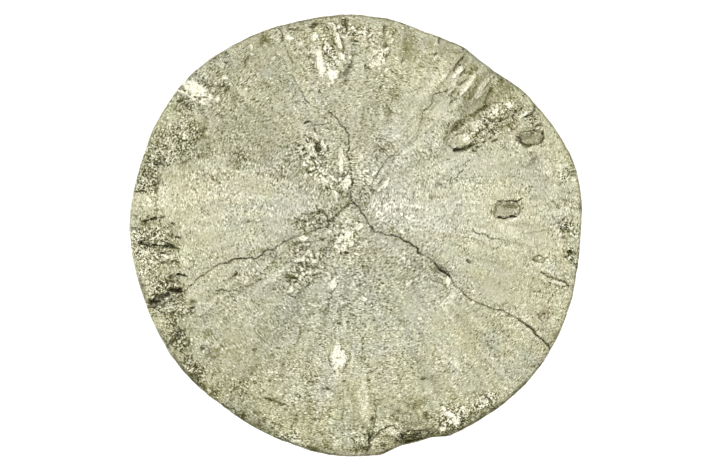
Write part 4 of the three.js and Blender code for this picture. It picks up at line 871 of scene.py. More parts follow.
        Crack(((-1.4, -35.4), (.2, -34.8), (1.6, -35.2)), .5),
        Crack(((8.1, -35), (9.8, -34.4), (12.3, -34.3), (13.2, -35)), .7, .15),
        Crack(((8.4, -36.6), (10.1, -36.2), (12.6, -35.6)), .65, .13),
        Crack(((-4.6, -20.6), (-4.8, -21.8), (-4.6, -23), (-3.9, -23.8), (-3.5, -24.6)), .45),
        Crack(((-1, -20.6), (-1.1, -21.5), (-1.5, -22.7), (-2.1, -23.6), (-2.7, -24.1)), .55),
        Crack(((-3.5, -20), (-3.6, -23.4)), .4, .08), Crack(((-2.7, -19.9), (-2.9, -23.6)), .35, .08),
        Crack(((-1.9, -20.8), (-2.1, -22.8)), .35, .08),
        Crack(((-35.4, 7.8), (-35.2, 6), (-35.3, 3.6)), .5, .13),
        Crack(((-38.4, -1), (-35, -1.7), (-31.8, -1.9)), .6, .15),
        Crack(((-36.8, 2.6), (-35.5, 3.2), (-33.7, 3.2)), .6, .13),
        Crack(((-32.4, -7.4), (-31.2, -6.8), (-30, -6.9)), .7, .2),
        Crack(((-24.6, 18.8), (-23.4, 18.2), (-23.1, 17.6)), .45),
        Crack(((-24.7, -9.9), (-24.1, -9.7), (-23.8, -9.4), (-23.3, -9.6)), .75),
        Crack(((-23.3, -9.6), (-22.4, -9.7), (-21.5, -9.8), (-21.2, -9.4), (-20.2, -9), (-19, -8.9),
            (-18, -8.5), (-17.2, -8), (-17.4, -7)), .4),
        Crack(((-8.4, 20), (-7.2, 19.2), (-5.8, 19.4), (-4.9, 19.7)), .5),
        Crack(((5.2, 22.7), (6.5, 21.5), (7.5, 21)), .45),
        Crack(((-15.3, -3.3), (-14.7, -3.9), (-14, -3.9), (-13.9, -3.4)), .6),
        Crack(((-28.9, -12.8), (-29.9, -13.9), (-30.7, -14.1), (-31.3, -14)), .65),
        Crack(((-35.9, -13.9), (-35, -13.6), (-34.3, -13.7), (-33.8, -14.2)), .4),
        Crack(((-24, 6.3), (-22.3, 6.5), (-21, 6.1), (-20, 6.3)), .3),
        Crack(((-19.1, 6.6), (-18.2, 5.5), (-17.5, 5.4)), .4),
    )
    dents: Patches = (
        (3, 31.2, .6, .12, 80, .6), (3.8, 31.8, .6, .12, 75, .6), (4.6, 31.5, .5, .12, 80, .6),
        (5.3, 31.4, .5, .12, 70, .6), (3.5, 30.5, .4, .12, 80, .5), (4.6, 30.1, .4, .12, 80, .5),
        (2.1, 30.8, .6, .12, 80, .5), (4.9, 33.4, .6, .14, 60, .6), (3.7, 33.1, .5, .12, 60, .5),
        (5.9, 32.2, .5, .12, 60, .5), (-5.2, 29.7, 1.3, .14, -80, .6), (-7.2, 30.4, 1.5, .12, -80, .5),
        (-2.8, 28.2, .9, .18, 80, .7), (-4.9, 28, .6, .12, 80, .5), (-2.4, 33.7, 1.3, .14, -72, .6),
        (-3.8, 34, 1.1, .12, -72, .5), (-6.3, 34.6, .7, .12, -70, .5), (-8.1, 34.6, .5, .14, -60, .5),
        (-8.9, 33.3, .5, .12, -50, .5), (-7, 32.5, .5, .12, 0, .5), (-5.6, 31.9, .5, .14, 30, .5),
        (-4.4, 30.6, .6, .14, 60, .5), (-1.9, 35.6, .5, .2, 0, .6), (2.6, 35, .5, .14, 40, .5),
        (-5.2, 8.4, .9, .12, -50, .6), (-2.4, 8.6, .8, .12, 75, .6), (-.7, 8.9, .8, .12, 70, .5),
        (4.4, 9.6, .8, .12, 50, .6), (1.6, 8.3, .5, .14, 20, .6), (3.2, 7.9, .6, .14, 10, .6),
        (-10.6, -1.6, .4, .2, 30, .6), (-11.4, -4.6, .3, .3, 0, .7), (-8.4, -3.6, .3, .3, 0, .7),
        (-10.2, -6.4, .3, .25, 0, .7), (-7.6, -5.8, .3, .25, 0, .6), (-11.8, -8, .4, .25, 30, .6),
        (-10.8, 36.3, 1.3, .3, 2, .6), (-7.2, 37, 1.2, .35, 28, .9), (-1.7, 37, 1, .45, 90, .8),
        (1.2, 36.2, 1.1, .2, 0, .4), (4.9, 35.7, .8, .2, 90, .55), (5.2, 33.3, .6, .35, 30, .8),
        (-.2, 34.2, .6, .2, 0, .8), (-.2, 33.6, .4, .35, 0, .5), (-3.1, 31.8, .9, .22, 100, .6),
        (-1.5, 30.1, .7, .22, 0, .7), (-.7, 30.5, .6, .2, 85, .6), (-1.6, 28.8, 1, .55, 60, .75),
        (-1.9, 27.1, .6, .25, 35, .6), (1.6, 29.8, .35, .2, 100, .7), (2.3, 29.5, .5, .22, -20, .7),
        (8.2, 30.8, .6, .25, 70, .7), (-8, 31.6, .4, .3, 0, .6), (-7.2, 31.4, .35, .25, 0, .5),
        (-10.1, 31.3, .5, .2, 0, .3), (-13.3, 31.1, .6, .5, 0, .4), (-8.7, 19.9, .5, .2, 15, .9),
        (5.1, 36.9, .3, .3, 0, .5), (-23.2, 26.5, .6, .3, 55, .85), (-22.7, 25.8, .8, .3, 50, .85),
        (-24.6, 26.25, 1.7, .15, 0, .6), (-22.8, 30.5, .35, .25, 0, .8), (-23, 31.9, .5, .2, 70, .6),
        (-19.3, 30.8, .8, .3, 65, .8), (-26.7, 27.9, .5, .2, 45, .7), (-30.7, 23.8, .6, .35, 30, .7),
        (-30.2, 23.3, .5, .25, 30, .6), (-29.6, 22.8, .4, .25, 0, .7), (-31.9, 22.3, .35, .25, 60, .6),
        (-27.1, 22.1, .4, .3, 0, .5), (-15.6, 26.4, .9, .5, 20, .3), (-23.7, 20.8, .4, .35, 0, .5),
        (-26.5, 20.9, .5, .2, -45, .5), (-26.4, 26.7, .8, .3, -40, .5), (-33.4, 20.4, .6, .3, 0, .5),
        (-19.2, 19.9, .5, .3, 0, .4), (-26.9, 18.7, .8, .3, 40, .5), (-27.9, 18.1, .6, .25, 40, .7),
        (14.6, 34.4, .4, .25, 80, .9), (14, 32, .4, .22, 30, .7), (18.9, 32.5, .7, .2, 90, .7),
        (18.4, 30.9, 1, .18, 43, .8), (19.5, 30.9, .7, .5, 40, .35), (18.2, 30, .7, .2, 0, .7),
        (17.4, 29.4, .5, .3, 60, .8), (18.8, 28.7, 1.1, .14, 53, .6), (18.7, 26.9, 1, .15, 35, .6),
        (20.4, 24.8, 1.9, .6, 62, .4), (23, 26.3, 1.2, .2, 55, .75), (24.4, 28, .6, .2, 55, .6),
        (23.6, 25, 1.7, .6, 60, .45), (21.6, 21.9, 1.5, .4, 30, .55), (22.9, 22.8, .6, .4, 20, .5),
        (16.7, 23.4, .5, .18, 58, .7), (15.5, 20.2, .7, .12, 48, .6), (17.6, 18.9, 1.4, .45, 28, .55),
        (19, 20.3, 1.3, .4, 12, .45), (22, 18.4, .8, .22, 35, .75), (23.1, 19.7, .5, .3, 20, .5),
        (24.1, 20.3, .8, .25, 25, .75), (25.9, 20.4, 1.1, .2, 25, .75), (25.2, 23.4, .9, .2, -8, .6),
        (28.3, 21.8, 1.1, .4, 35, .5), (32.2, 19.4, .5, .3, -10, .8), (13.1, 6.8, .4, .35, 0, .5),
        (10.6, 4.5, .3, .2, 30, .5), (10.7, 3.6, .3, .3, 0, .35), (16.1, 13.4, .25, .2, 0, .6),
        (14.8, 9, .5, .15, -20, .7), (16, 17.2, .9, .7, 60, .3), (23.2, 18.2, .9, .5, 35, .4),
        (20.6, 14.9, .5, .18, -15, .9), (21.5, 15.6, .5, .25, 10, .8), (21.1, 16.8, .5, .15, 0, .7),
        (22.6, 16.5, .5, .2, 35, .85), (23.5, 17.1, .5, .2, 30, .7), (24.3, 16.7, .6, .25, 20, .85),
        (30.3, 17.5, 1.4, .7, 25, .45), (31.2, 13.1, 1.2, .6, 50, .3), (23.8, 4.3, .5, .4, 90, .5),
        (24.3, 3.3, .2, .2, 0, .8), (27.2, 5.2, 1.4, .5, 0, .5), (29.2, 5.6, .4, .3, 0, .5),
        (28, 3.9, .4, .2, -30, .6), (31.5, 5.1, .35, .12, 0, .5), (35.7, 2.2, .3, .2, 0, 1),
        (36.4, 1.3, .4, .35, 0, .95), (37.3, 1, .7, .2, -15, .7), (36.5, 2.9, .6, .15, 45, .8),
        (37.9, 2.4, .5, .3, 60, .5), (36.4, 10.7, .4, .2, -40, .6), (38, 11.2, .8, .15, 20, .6),
        (38.2, 10.6, .5, .25, 0, .5), (36, 9, .35, .2, 40, .4), (37.6, 7.6, .3, .15, 90, .6),
        (36.9, 6.2, .5, .15, -20, .5), (36.5, -.3, .4, .4, 0, .6), (38.2, -3, 1.2, .22, -12, .85),
        (38.3, -4.1, .35, .25, -30, .8), (36.9, -3.8, .3, .2, 0, .7), (31.6, -4.3, .6, .3, -5, .5),
        (33.8, -3.9, .25, .2, 0, .7), (36, -7.1, .9, .15, -5, .35), (19.6, -4.4, .35, .25, -40, 1),
        (19.9, -4.7, .25, .15, -60, .8), (25.2, -8.4, .35, .15, 80, .5), (33, -13.8, .3, .25, 0, .8),
        (33.8, -14.6, .4, .2, 60, .5), (32.4, -14.3, .5, .2, -60, .4), (26.9, -17.7, .35, .25, 0, .5),
        (25.9, -16.9, .25, .2, 30, .6), (35.3, -17.6, .9, .6, 55, .4), (34.3, -18.9, .7, .4, 20, .6),
        (35.6, -14.9, .2, .15, 0, .6), (-34.9, 9.4, 1.1, .6, 70, .6), (-35.2, 7.9, .35, .25, 90, .8),
        (-34.8, 12.6, .8, .35, 0, .65), (-34.3, 13.5, .5, .3, 0, .5), (-29.8, 13.1, 1.3, .3, 22, .6),
        (-28.1, 15.1, .8, .25, 0, .7), (-33.3, 15.3, .4, .3, 0, .6), (-30.8, 14.8, .8, .25, -25, .5),
        (-37.9, 7.8, .9, .2, 8, .9), (-37.2, 8.7, .4, .3, 0, .5), (-35.3, 4.5, .45, .35, 0, .7),
        (-37.9, 5.1, .25, .2, 0, .6), (-38.7, 3.5, .7, .15, -10, .6), (-37.9, 3, .3, .2, 60, .5),
        (-37, 2.6, .7, .25, 20, .95), (-35.5, 3, .8, .25, 8, 1), (-39.2, 1.2, .6, .3, -15, .8),
        (-38.4, 1, .5, .25, 0, .6), (-32.2, 2.1, .35, .3, -30, .8), (-36.8, .6, .3, .2, 0, .5),
        (-31.4, -.3, .5, .25, -10, .9), (-32.4, 0, .4, .2, 0, .6), (-36.4, -.4, .3, .2, 0, .5),
        (-15.8, 14, 1.5, .8, 95, .2), (-18.9, 2.4, .3, .2, 0, .7), (-16, 2.2, .2, .15, 0, .6),
        (-26, 3.8, .6, .2, 20, .45), (-37.9, -1.4, .6, .3, -20, .85), (-37.1, -2, .5, .4, 60, .8),
        (-35.9, -1.7, .8, .25, -5, .75), (-34.4, -1.9, .5, .25, -10, .6), (-33.4, -1.8, .6, .3, 0, .8),
        (-32.5, -1.7, .5, .4, 90, .9), (-31.7, -2.2, .5, .2, -15, .8), (-34, -3.1, .5, .3, 0, .8),
        (-33, -3.2, .3, .2, 0, .6), (-34.2, -4.7, .5, .35, -10, .8), (-32.9, -4.8, .5, .3, 0, .7),
        (-31.4, -4.7, .4, .25, 10, .7), (-36.2, -6.3, .35, .25, -40, .7), (-37.6, -8.8, .25, .25, 0, .8),
        (-32.4, -7.1, .7, .2, 15, .85), (-31.1, -6.8, .6, .2, 8, .9), (-30.3, -7, .35, .25, -40, .8),
        (-34.1, -8.5, .3, .25, 0, .7), (-32.3, -8.2, .5, .35, -50, .7), (-32, -9.7, 1.2, .7, -8, 1),
        (-34.6, -11.6, .9, .5, 30, .9), (-36.4, -12.6, .8, .4, 10, .8), (-33.2, -9.9, .5, .4, 30, .8),
        (-33.9, -10.8, 1, .5, 25, .9), (-33, -11.1, .7, .4, 0, .85), (-36, -11.4, .8, .4, 15, .85),
        (-35, -12.1, .8, .4, 15, .7), (-35.5, -12.7, .4, .3, 0, .7), (-28.6, -11.7, .4, .4, 0, .7),
        (-28.9, -12.8, .5, .25, 20, .8), (-32.1, -13.6, .4, .25, 0, .7), (-33, -13.8, .3, .3, 0, .5),
        (-31.1, -16.6, .9, .3, -65, .8), (-30.4, -17.4, .6, .3, -15, .7), (-31.9, -17.9, 1.1, .55, 40, .55),
        (-32.7, -17.4, .3, .2, 0, .7), (-32.9, -19.2, .8, .3, 55, .8), (-29.4, -19, .6, .2, 95, .7),
        (-26.9, -19.9, .3, .25, 45, .9), (-21.1, -6.8, .35, .2, 70, .9), (-21.7, -7.3, .6, .2, 30, .5),
        (-22, -7.8, .3, .2, 0, .4), (-23.2, -8, .25, .2, 0, .5), (-16.5, -18.3, .7, .2, -35, .5),
        (-23.9, -19.3, .2, .2, 0, .5), (-6.8, 15.4, .8, .5, 105, .85), (-9, 15.1, .45, .15, 0, 1),
        (-8.2, 11.1, .5, .2, 20, .8), (-9.8, 12.4, .3, .15, -45, .6), (-3.6, 13.5, .25, .15, 0, .8),
        (-3.6, 10.7, .6, .2, 20, .6), (-2.4, 10.4, .4, .2, -30, .7), (-3, 7.7, .5, .2, -30, .6),
        (-2.8, 6.4, .45, .4, 0, .45), (-2, 7.8, .3, .15, 30, .5), (4.7, 16.9, .35, .2, 0, .5),
        (5.4, 16.1, .4, .2, 20, .4), (3, 7.9, .7, .18, -15, .7), (4.3, 7.6, .5, .15, 20, .5),
        (1.4, 8.7, .7, .18, 20, .5), (-9, 3.8, .8, .2, 0, .6), (-7.7, 3.9, .5, .25, 10, .6),
        (-6.4, 4.3, .45, .35, 20, .9), (-5.6, 3.8, .5, .25, -25, .6), (-4.1, 4.6, .5, .2, 10, .6),
        (-10.1, 2.9, .35, .2, 0, .6), (-8.9, 2.4, .3, .2, 60, .7), (-10.8, 2.1, .8, .3, 30, .4),
        (-4.9, 2.6, .4, .35, 0, .7), (-6.1, 2, .4, .3, 0, .6), (.4, 2.5, .35, .15, -70, .9),
        (2.8, 1.3, .4, .2, -60, .95), (-5.8, -.7, .35, .2, 0, .95), (-8.7, -1.2, .7, .18, 10, .6),
        (-9.3, -1.9, .3, .25, 0, .6), (-9.6, -4.8, .5, .22, -5, .9), (-7.5, -5.6, .35, .25, 0, .8),
        (-8.5, -3.7, .3, .2, 60, .6), (-7.2, -7, .5, .2, 15, .75), (-12.1, -7.2, .5, .4, 90, .6),
        (-12, -9.5, .35, .25, 90, .6), (-9.9, -10, .5, .15, 20, .6), (-8.4, -8.7, .5, .12, 30, .6),
        (-11.2, -10.7, .8, .12, -22, .7), (-4.6, -2.7, .4, .4, 0, .5), (-4.2, -1, .5, .4, 30, .45),
        (-1.7, -3.1, .4, .15, 0, .6), (-.3, -1.7, .5, .12, 50, .5), (-3.4, -6.7, .5, .15, -40, .6),
        (.3, -11, .5, .4, 0, .25), (2.4, -12.1, .6, .15, 5, .5), (3.6, -11.7, .4, .2, -20, .4),
        (-.4, -14, .3, .2, 0, .7), (1.5, -13.4, .3, .15, 90, .5), (-2.9, -15.5, .4, .22, 0, .75),
        (-1.6, -15.2, .4, .18, 0, .8), (1.6, -15.9, .35, .2, 45, .5), (-2.5, -18.2, .3, .15, 30, .6),
        (-7.5, -13.8, .3, .15, -20, .6), (-5.9, -12.9, .3, .15, -45, .5), (-5, -12.5, .2, .15, 0, .6),
        (3.4, -14.8, .5, .15, 0, .35), (7.3, -14.6, .3, .2, 0, .5), (8.7, -15.1, .6, .15, 5, .55),
        (.5, -8.8, .4, .2, 20, .6), (1.5, -8.1, .3, .15, 0, .5), (6.2, -7.1, .25, .15, 0, .6),
        (2.3, -5.6, .4, .15, -20, .5), (5.6, -11.8, .35, .15, 0, .5), (15.4, -6.3, 1.2, .5, -38, .6),
        (14.1, -6.2, .6, .35, -40, .6), (16.4, -7.2, .4, .25, -50, .9), (11.3, -17.2, .35, .2, 25, .7),
        (18.1, -14.1, .3, .25, 90, .4), (-24.9, -21.5, .5, .4, 60, .5), (-29.3, -20.3, .4, .15, -40, .6),
        (-29.2, -22.8, .4, .3, 0, .7), (-28.3, -23.2, .4, .3, 90, .6), (-28.2, -24.4, .5, .4, 0, .6),
        (-18, -20.1, .4, .25, 0, .55), (-14, -19.8, .7, .2, 0, .55), (-12.7, -24.8, 1, .15, -8, .45),
        (-8, -25.7, .6, .15, -22, .6), (-10.3, -27.9, .4, .2, 20, .5), (-15, -28.9, 1.2, .22, -15, .7),
        (-13.1, -29.6, .7, .2, -20, .75), (-13.9, -30.3, .7, .12, -32, .5), (-12.4, -30.6, .3, .2, 30, .6),
        (-10.6, -32.4, .6, .18, -3, .7), (-10.4, -31.7, .5, .18, 0, .5), (-7, -32.4, .5, .14, -8, .6),
        (-20.1, -27.5, .3, .2, 90, .6), (-20.5, -28.5, .5, .12, 75, .4), (-24, -26.2, .6, .12, -30, .4),
        (-11, -35.8, .9, .15, 0, .5), (-7.5, -37.6, 1.4, .3, -10, .8), (-5.3, -27, .8, .2, -5, .8),
        (-2, -25.6, .22, .18, 0, .9), (-5.5, -24.5, .4, .12, 30, .5), (2.2, -25.4, .4, .2, -50, .7),
        (6.9, -26.1, .25, .15, 0, .7), (11.8, -25.2, .5, .22, 10, .85), (13.6, -24.7, .3, .15, 25, .5),
        (2.3, -20.5, .6, .15, 18, .55), (1.2, -21.6, .5, .12, -35, .5), (5.8, -20.5, .3, .12, 0, .5),
        (9.7, -22.9, .5, .12, 100, .5), (-4.5, -30.4, .4, .15, 20, .5), (-3.2, -29.4, .4, .12, 0, .4),
        (2.9, -32.1, .4, .22, 90, .9), (2.3, -35.3, .7, .25, -70, .9), (1.8, -37.4, .7, .4, 20, .8),
        (6.3, -30, .4, .12, 10, .5), (8.9, -31.4, .7, .12, -3, .6), (7.2, -30.9, .5, .12, 0, .4),
        (10.2, -30.3, .4, .25, 70, .6), (12.3, -31.8, .6, .25, 65, .6), (11.4, -32.9, .6, .12, -45, .4),
        (5.2, -37.7, .6, .2, -15, .6), (7.3, -36.2, .6, .15, 30, .5), (9.4, -36, 1.5, .7, 10, .85),
        (11, -35.1, 1.3, .3, 18, .7), (8.6, -35.4, .6, .3, 0, .7), (14, -34.7, 1, .5, 0, .6),
        (16.8, -34.5, 1, .3, 18, .7), (21, -29.9, .5, .2, -48, 1), (21.1, -27.9, .7, .12, -45, .7),
        (22.9, -28.3, .5, .15, -40, .6), (16, -33, .6, .2, 0, .6), (15.9, -32, .5, .15, 0, .7),
        (22.4, -31.6, .8, .25, 25, .6), (19.8, -32.2, .5, .2, 0, .5), (20.1, -31.7, .4, .3, 0, .5),
        (26.5, -23.8, .5, .1, -42, .5), (23.6, -30.4, .8, .2, -12, .6),
    )
    # Raised crystals whose glint of light is painted into the colour as a near-white patch.
    crystal_glints: Patches = (
        (5.2, 9, 1.1, .28, 50, .95), (4.3, 8.1, .5, .22, 40, .8), (2.6, 9.3, .9, .22, 45, .8),
        (-5.4, 9.6, 1, .26, -52, 1), (-3.7, 7.4, .9, .28, -64, .95), (-7.7, 30.5, .4, .3, 90, .8),
        (-5, 33.7, .4, .3, 20, .7), (-9.3, 34.2, .35, .25, 0, .8), (-9, -4, .25, .25, 0, .8),
        (-10.8, -5.4, .25, .22, 0, .8), (-9.6, -7.2, .25, .25, 0, .8), (-7.9, -7.6, .25, .22, 0, .8),
        (-11.6, -6.6, .22, .22, 0, .7), (-8.6, -1.6, .6, .4, 0, .8), (-6.6, -3.2, .3, .5, 0, .7),
        (-10.2, -2.6, .3, .25, 0, .7), (-11.7, 34.9, .7, .45, -30, .9), (-7.2, 34.9, .9, .6, 100, .9),
        (-9.5, 33.8, .6, .4, -30, .8), (-3.1, 34.5, 1.7, .38, -72, 1), (-3.9, 36.8, .9, .3, -52, .7),
        (-2.4, 31.4, .8, .45, 100, .95), (-6.2, 30.2, 2.3, .7, -80, 1), (-4.1, 28.4, 1.1, .9, 95, 1),
        (-8.4, 32.2, .4, .3, 0, .8), (-7.5, 32.3, .5, .3, 0, .8), (-6.8, 31.9, .4, .25, 0, .7),
        (-9.4, 30.4, .35, .25, 0, .6), (-4.1, 26.8, .6, .25, 20, .9), (-6.6, 27, .3, .25, 90, .6),
        (2.5, 31.8, .5, .2, 70, 1), (3.4, 32.1, .5, .2, 75, 1), (4, 33.2, .45, .2, 70, .9),
        (4.7, 31.8, .6, .22, 75, 1), (5.2, 32.4, .45, .2, 60, .9), (5.8, 33, .4, .2, 60, .9),
        (3.8, 30.1, .5, .2, 80, 1), (4.3, 31, .4, .22, 70, .9), (6.4, 34, .45, .2, 50, .9),
        (6.1, 35, .35, .2, 60, .8), (4.3, 35.7, .4, .2, 30, .8), (3.2, 33.6, .4, .2, 60, .8),
        (2.9, 31.5, .7, .25, 80, .9), (3.5, 32.2, .7, .2, 60, .9), (4.2, 31.2, .5, .2, 60, .8),
        (4.9, 30.8, .5, .3, 80, .9), (3.2, 30.1, .5, .25, 80, .9), (2.5, 29.9, .3, .2, 0, .8),
        (4.3, 29.4, .5, .22, 20, .8), (5.6, 29.3, .5, .22, 30, .7), (5.5, 32.8, .5, .3, 30, .9),
        (6.2, 34.1, .6, .2, 60, .8), (5.6, 35.5, .5, .25, 60, .6), (1.2, 29.9, .3, .2, 60, .6),
        (.3, 29.3, .35, .2, 30, .6), (8.5, 30.4, .4, .18, 60, .8), (.9, 35.8, .9, .4, 0, .5),
        (4.4, 36.6, .4, .2, 0, .6), (3.5, 36.5, .4, .2, 30, .5), (3.5, 34, .5, .2, 60, .5),
        (-1.2, 33.2, .4, .2, 40, .6), (-1, 31.4, .3, .3, 0, .5), (-8.2, 36, .6, .25, 20, .5),
        (-28.4, 26, 3.4, 1, -35, 1), (-30.8, 25.4, 1.2, .25, -28, .7), (-30, 24.9, 1.2, .2, -30, .6),
        (-22.9, 27.8, .6, .4, -20, 1), (-22, 26.7, .5, .25, -60, .8), (-18.2, 31.9, .3, .25, 0, .9),
        (-18.3, 33.2, .4, .2, -70, .7), (-14.3, 31.3, .3, .2, 45, .7), (-26.9, 28.5, .4, .3, 0, .7),
        (-26.3, 27.7, .5, .2, -60, .7), (-26.6, 23.2, .4, .25, 0, .6), (-26, 24.1, .5, .25, 0, .6),
        (-25.7, 23, .25, .2, 0, .6), (-28.7, 24, .4, .25, 0, .6), (-24.4, 24, .7, .5, 60, .55),
        (-22.1, 23.9, .3, .3, 0, .6), (-21.2, 16, .25, .2, 0, .7), (-27.5, 14.9, .5, .2, -50, .7),
        (-26, 18.1, .5, .2, 100, .7), (-23.4, 30, .5, .3, 40, .5), (18.1, 28.9, 1.2, .35, 53, .7),
        (17.3, 28, .6, .3, 50, .9), (19.7, 26.4, 2.3, .45, 54, .5), (18.4, 24.8, .8, .3, 50, .6),
        (21.9, 24.7, .7, .25, 48, .8), (22.3, 25.8, 2.2, .55, 60, .4), (17, 26.2, 1.8, .4, 55, .4),
        (15.3, 27.6, 1.6, .35, 50, .35), (14.2, 33.9, .4, .2, 60, .5), (14, 31.4, .4, .3, 0, .8),
        (21.4, 19.6, 1.1, .8, 40, .5), (29.7, 21.3, 1.7, .28, 28, .7), (26.8, 18.6, .4, .3, -45, .8),
        (28.9, 16.1, .4, .2, -60, .7), (25.4, 18.2, .6, .25, 20, .6), (-2.5, 12.8, 2.2, .34, 90, 1),
        (-1.6, 9.2, 1.3, .6, 70, .8), (-5.4, 9.5, .8, .25, -40, .9), (-4.1, 8.5, .6, .25, -50, .9),
        (-3.5, 7.2, .9, .3, -75, .8), (-6.8, 9.9, .5, .25, -30, .6), (-7, 17.6, .9, .25, -62, .9),
        (-5.6, 15.6, 1, .4, -70, .75), (-9.1, 16.7, 1.2, .28, -60, .9), (-8.2, 15.4, .6, .25, -75, .8),
        (-9.7, 15.3, .5, .25, 60, .7), (-9.3, 13.8, .2, .2, 0, .9), (-8.3, 13.2, .25, .2, 0, .8),
        (-7.8, 12.8, .3, .2, 90, .9), (-6.9, 13.9, .3, .2, 0, .8), (-10.5, 13.7, .2, .2, 0, .8),
        (-5.2, 14.1, .3, .2, 0, .8), (-7.7, 11.7, .2, .2, 0, .8), (-8.6, 10.6, .3, .2, 60, .8),
        (-8.9, 10.1, .3, .15, 0, .7), (.9, 14, .7, .35, -60, .8), (-1, 16.7, .8, .15, -55, .6),
        (5.4, 8.8, .8, .2, 45, .9), (2.1, 8.8, .7, .18, 42, .8), (-5.7, 3.2, .4, .25, 0, .5),
        (-8.6, 3.2, .4, .2, 0, .4), (.6, 1.6, .8, .5, 30, .7), (-1.3, .3, 1.2, .45, 90, .9),
        (-1.2, 2.5, .8, .4, 20, .6), (-4.5, .8, .4, .3, 0, .7), (-2.9, .7, .6, .3, 20, .7),
        (-9.3, -.4, .7, .4, 0, .8), (-2.5, -.4, .5, .4, 0, .6), (-1.8, -.5, .5, .5, 0, .7),
        (-.8, -1.4, .6, .5, 60, .7), (-2.1, -2.5, .5, .35, 45, .9), (-3, -2.9, .35, .3, 0, 1),
        (-3.3, -1.6, .7, .2, 90, .6), (1.8, -1.3, .6, .25, 90, .8), (-3.8, -8.4, 1.1, .45, 75, .95),
        (-4.6, -6.9, .7, .2, -80, .8), (-11.9, -8.6, .4, .2, -40, .8), (-11.4, -9.7, .6, .4, 30, .7),
        (-10.3, -8.6, .3, .25, 0, .8), (-8.5, -3, .7, .4, 60, .7), (-9.3, -4.1, .5, .4, 0, .6),
        (-7.4, -4.4, .4, .35, 0, .6), (-10.3, -4.2, .25, .2, 0, .8), (-11.8, -6, .3, .2, 0, .7),
        (-6.9, -6.2, .4, .3, 30, .8), (-9.6, -6, .3, .3, 0, .5), (16.3, -8, .8, .35, 80, .8),
        (17.1, -5.6, .3, .3, 0, .7), (9.2, -5.5, .3, .25, 0, .9), (9.6, -8.3, .6, .22, 40, .9),
        (8.5, -4.1, .35, .2, 60, .8), (11.4, -14.6, .4, .3, 0, .8), (11, -17.6, .3, .2, 60, .7),
        (1.6, -11.2, .45, .3, 0, .6), (-.3, -8.5, .4, .2, 90, .6), (-8.4, -15.3, .2, .2, 0, .7),
        (-3.4, -20.5, 1.6, .8, 75, .8), (-2.5, -21.6, 1.8, 1, 95, .8), (-3.5, -22.2, 1.6, .8, 80, .75),
        (-2.5, -22.9, 1, .4, 80, .8), (-3.2, -24, .8, .4, 85, .6), (-4, -21.2, 1, .3, 85, .7),
        (-4.4, -25.3, .4, .25, 30, .6), (17, -10.5, .8, .5, -50, .5), (20.4, -11.9, .5, .3, 30, .5),
        (38.4, -3.8, .3, .15, -40, .7), (36, -8.4, 1.2, .25, -20, .5), (33, -14.4, .25, .2, 0, .8),
        (38.4, 9.8, .4, .3, 0, .5), (24.1, -6.2, .7, .12, 65, .5), (-34.6, 3.1, .35, .25, 30, .8),
        (-36.3, .7, .3, .25, 0, .9), (-32.5, -3.6, .4, .4, 0, .7), (-33.7, -4.2, .3, .25, 0, .8),
        (-33.6, -11.1, .65, .24, -45, 1), (-32.6, -10.4, .55, .22, -70, 1), (-34.3, -11.5, .55, .24, -55, 1),
        (-33, -10.9, .5, .2, -60, 1), (-35.2, -11.2, .4, .2, 30, 1), (-33.5, -10, .35, .18, 50, .9),
        (-35.6, -12.2, .4, .2, -20, .9), (-31.9, -10.1, .3, .16, -70, .8), (-34.8, -12, .3, .16, -70, .8),
        (-34.8, -6.9, .25, .2, 0, .8), (-26.8, -20.4, .3, .2, -60, .9), (-10.5, -36.2, .9, .3, 0, .5),
        (-13.1, -27.9, .5, .4, 0, .45), (-10, -24.8, .8, .15, 80, .6), (-14, -24, .25, .25, 0, .6),
        (-25.8, -27.4, .4, .3, -20, .5), (16.5, -31.5, .9, .45, -20, 1), (17.7, -32.7, .7, .5, -40, 1),
        (15.6, -30.6, .5, .35, -45, .8), (15.4, -34.1, .6, .35, 10, .8), (18.3, -31.1, .8, .18, 70, .7),
        (18.9, -31.5, .6, .15, 80, .6), (18, -29.8, .5, .2, 60, .6), (21.4, -29.3, .5, .22, 80, .9),
        (22.9, -29.3, .6, .45, 60, .7), (24.4, -29.3, .5, .3, 60, .7), (21.3, -27.8, .6, .12, -50, .8),
        (22.3, -28.5, .3, .2, 0, .9), (19.6, -29.5, .4, .2, 20, .6), (12.4, -34.8, .9, .25, 30, .4),
        (17.9, -22.2, .8, .25, -65, .45), (1.5, -28, 4.5, .7, 90, .25),
    )
    # Painted sheen: each sector lightens or darkens the skin's colour by its bearing from the growth centre.
    sheen_fans: tuple[SheenFan, ...] = (
        SheenFan(186, 24, .95), SheenFan(3, 36, .9, 8), SheenFan(140, 34, -.75, 6), SheenFan(94, 20, -.25, 8),
        SheenFan(60, 18, .15, 6), SheenFan(-50, 20, .1, 8), SheenFan(-92, 26, -.5), SheenFan(228, 30, -.85, 6),
    )


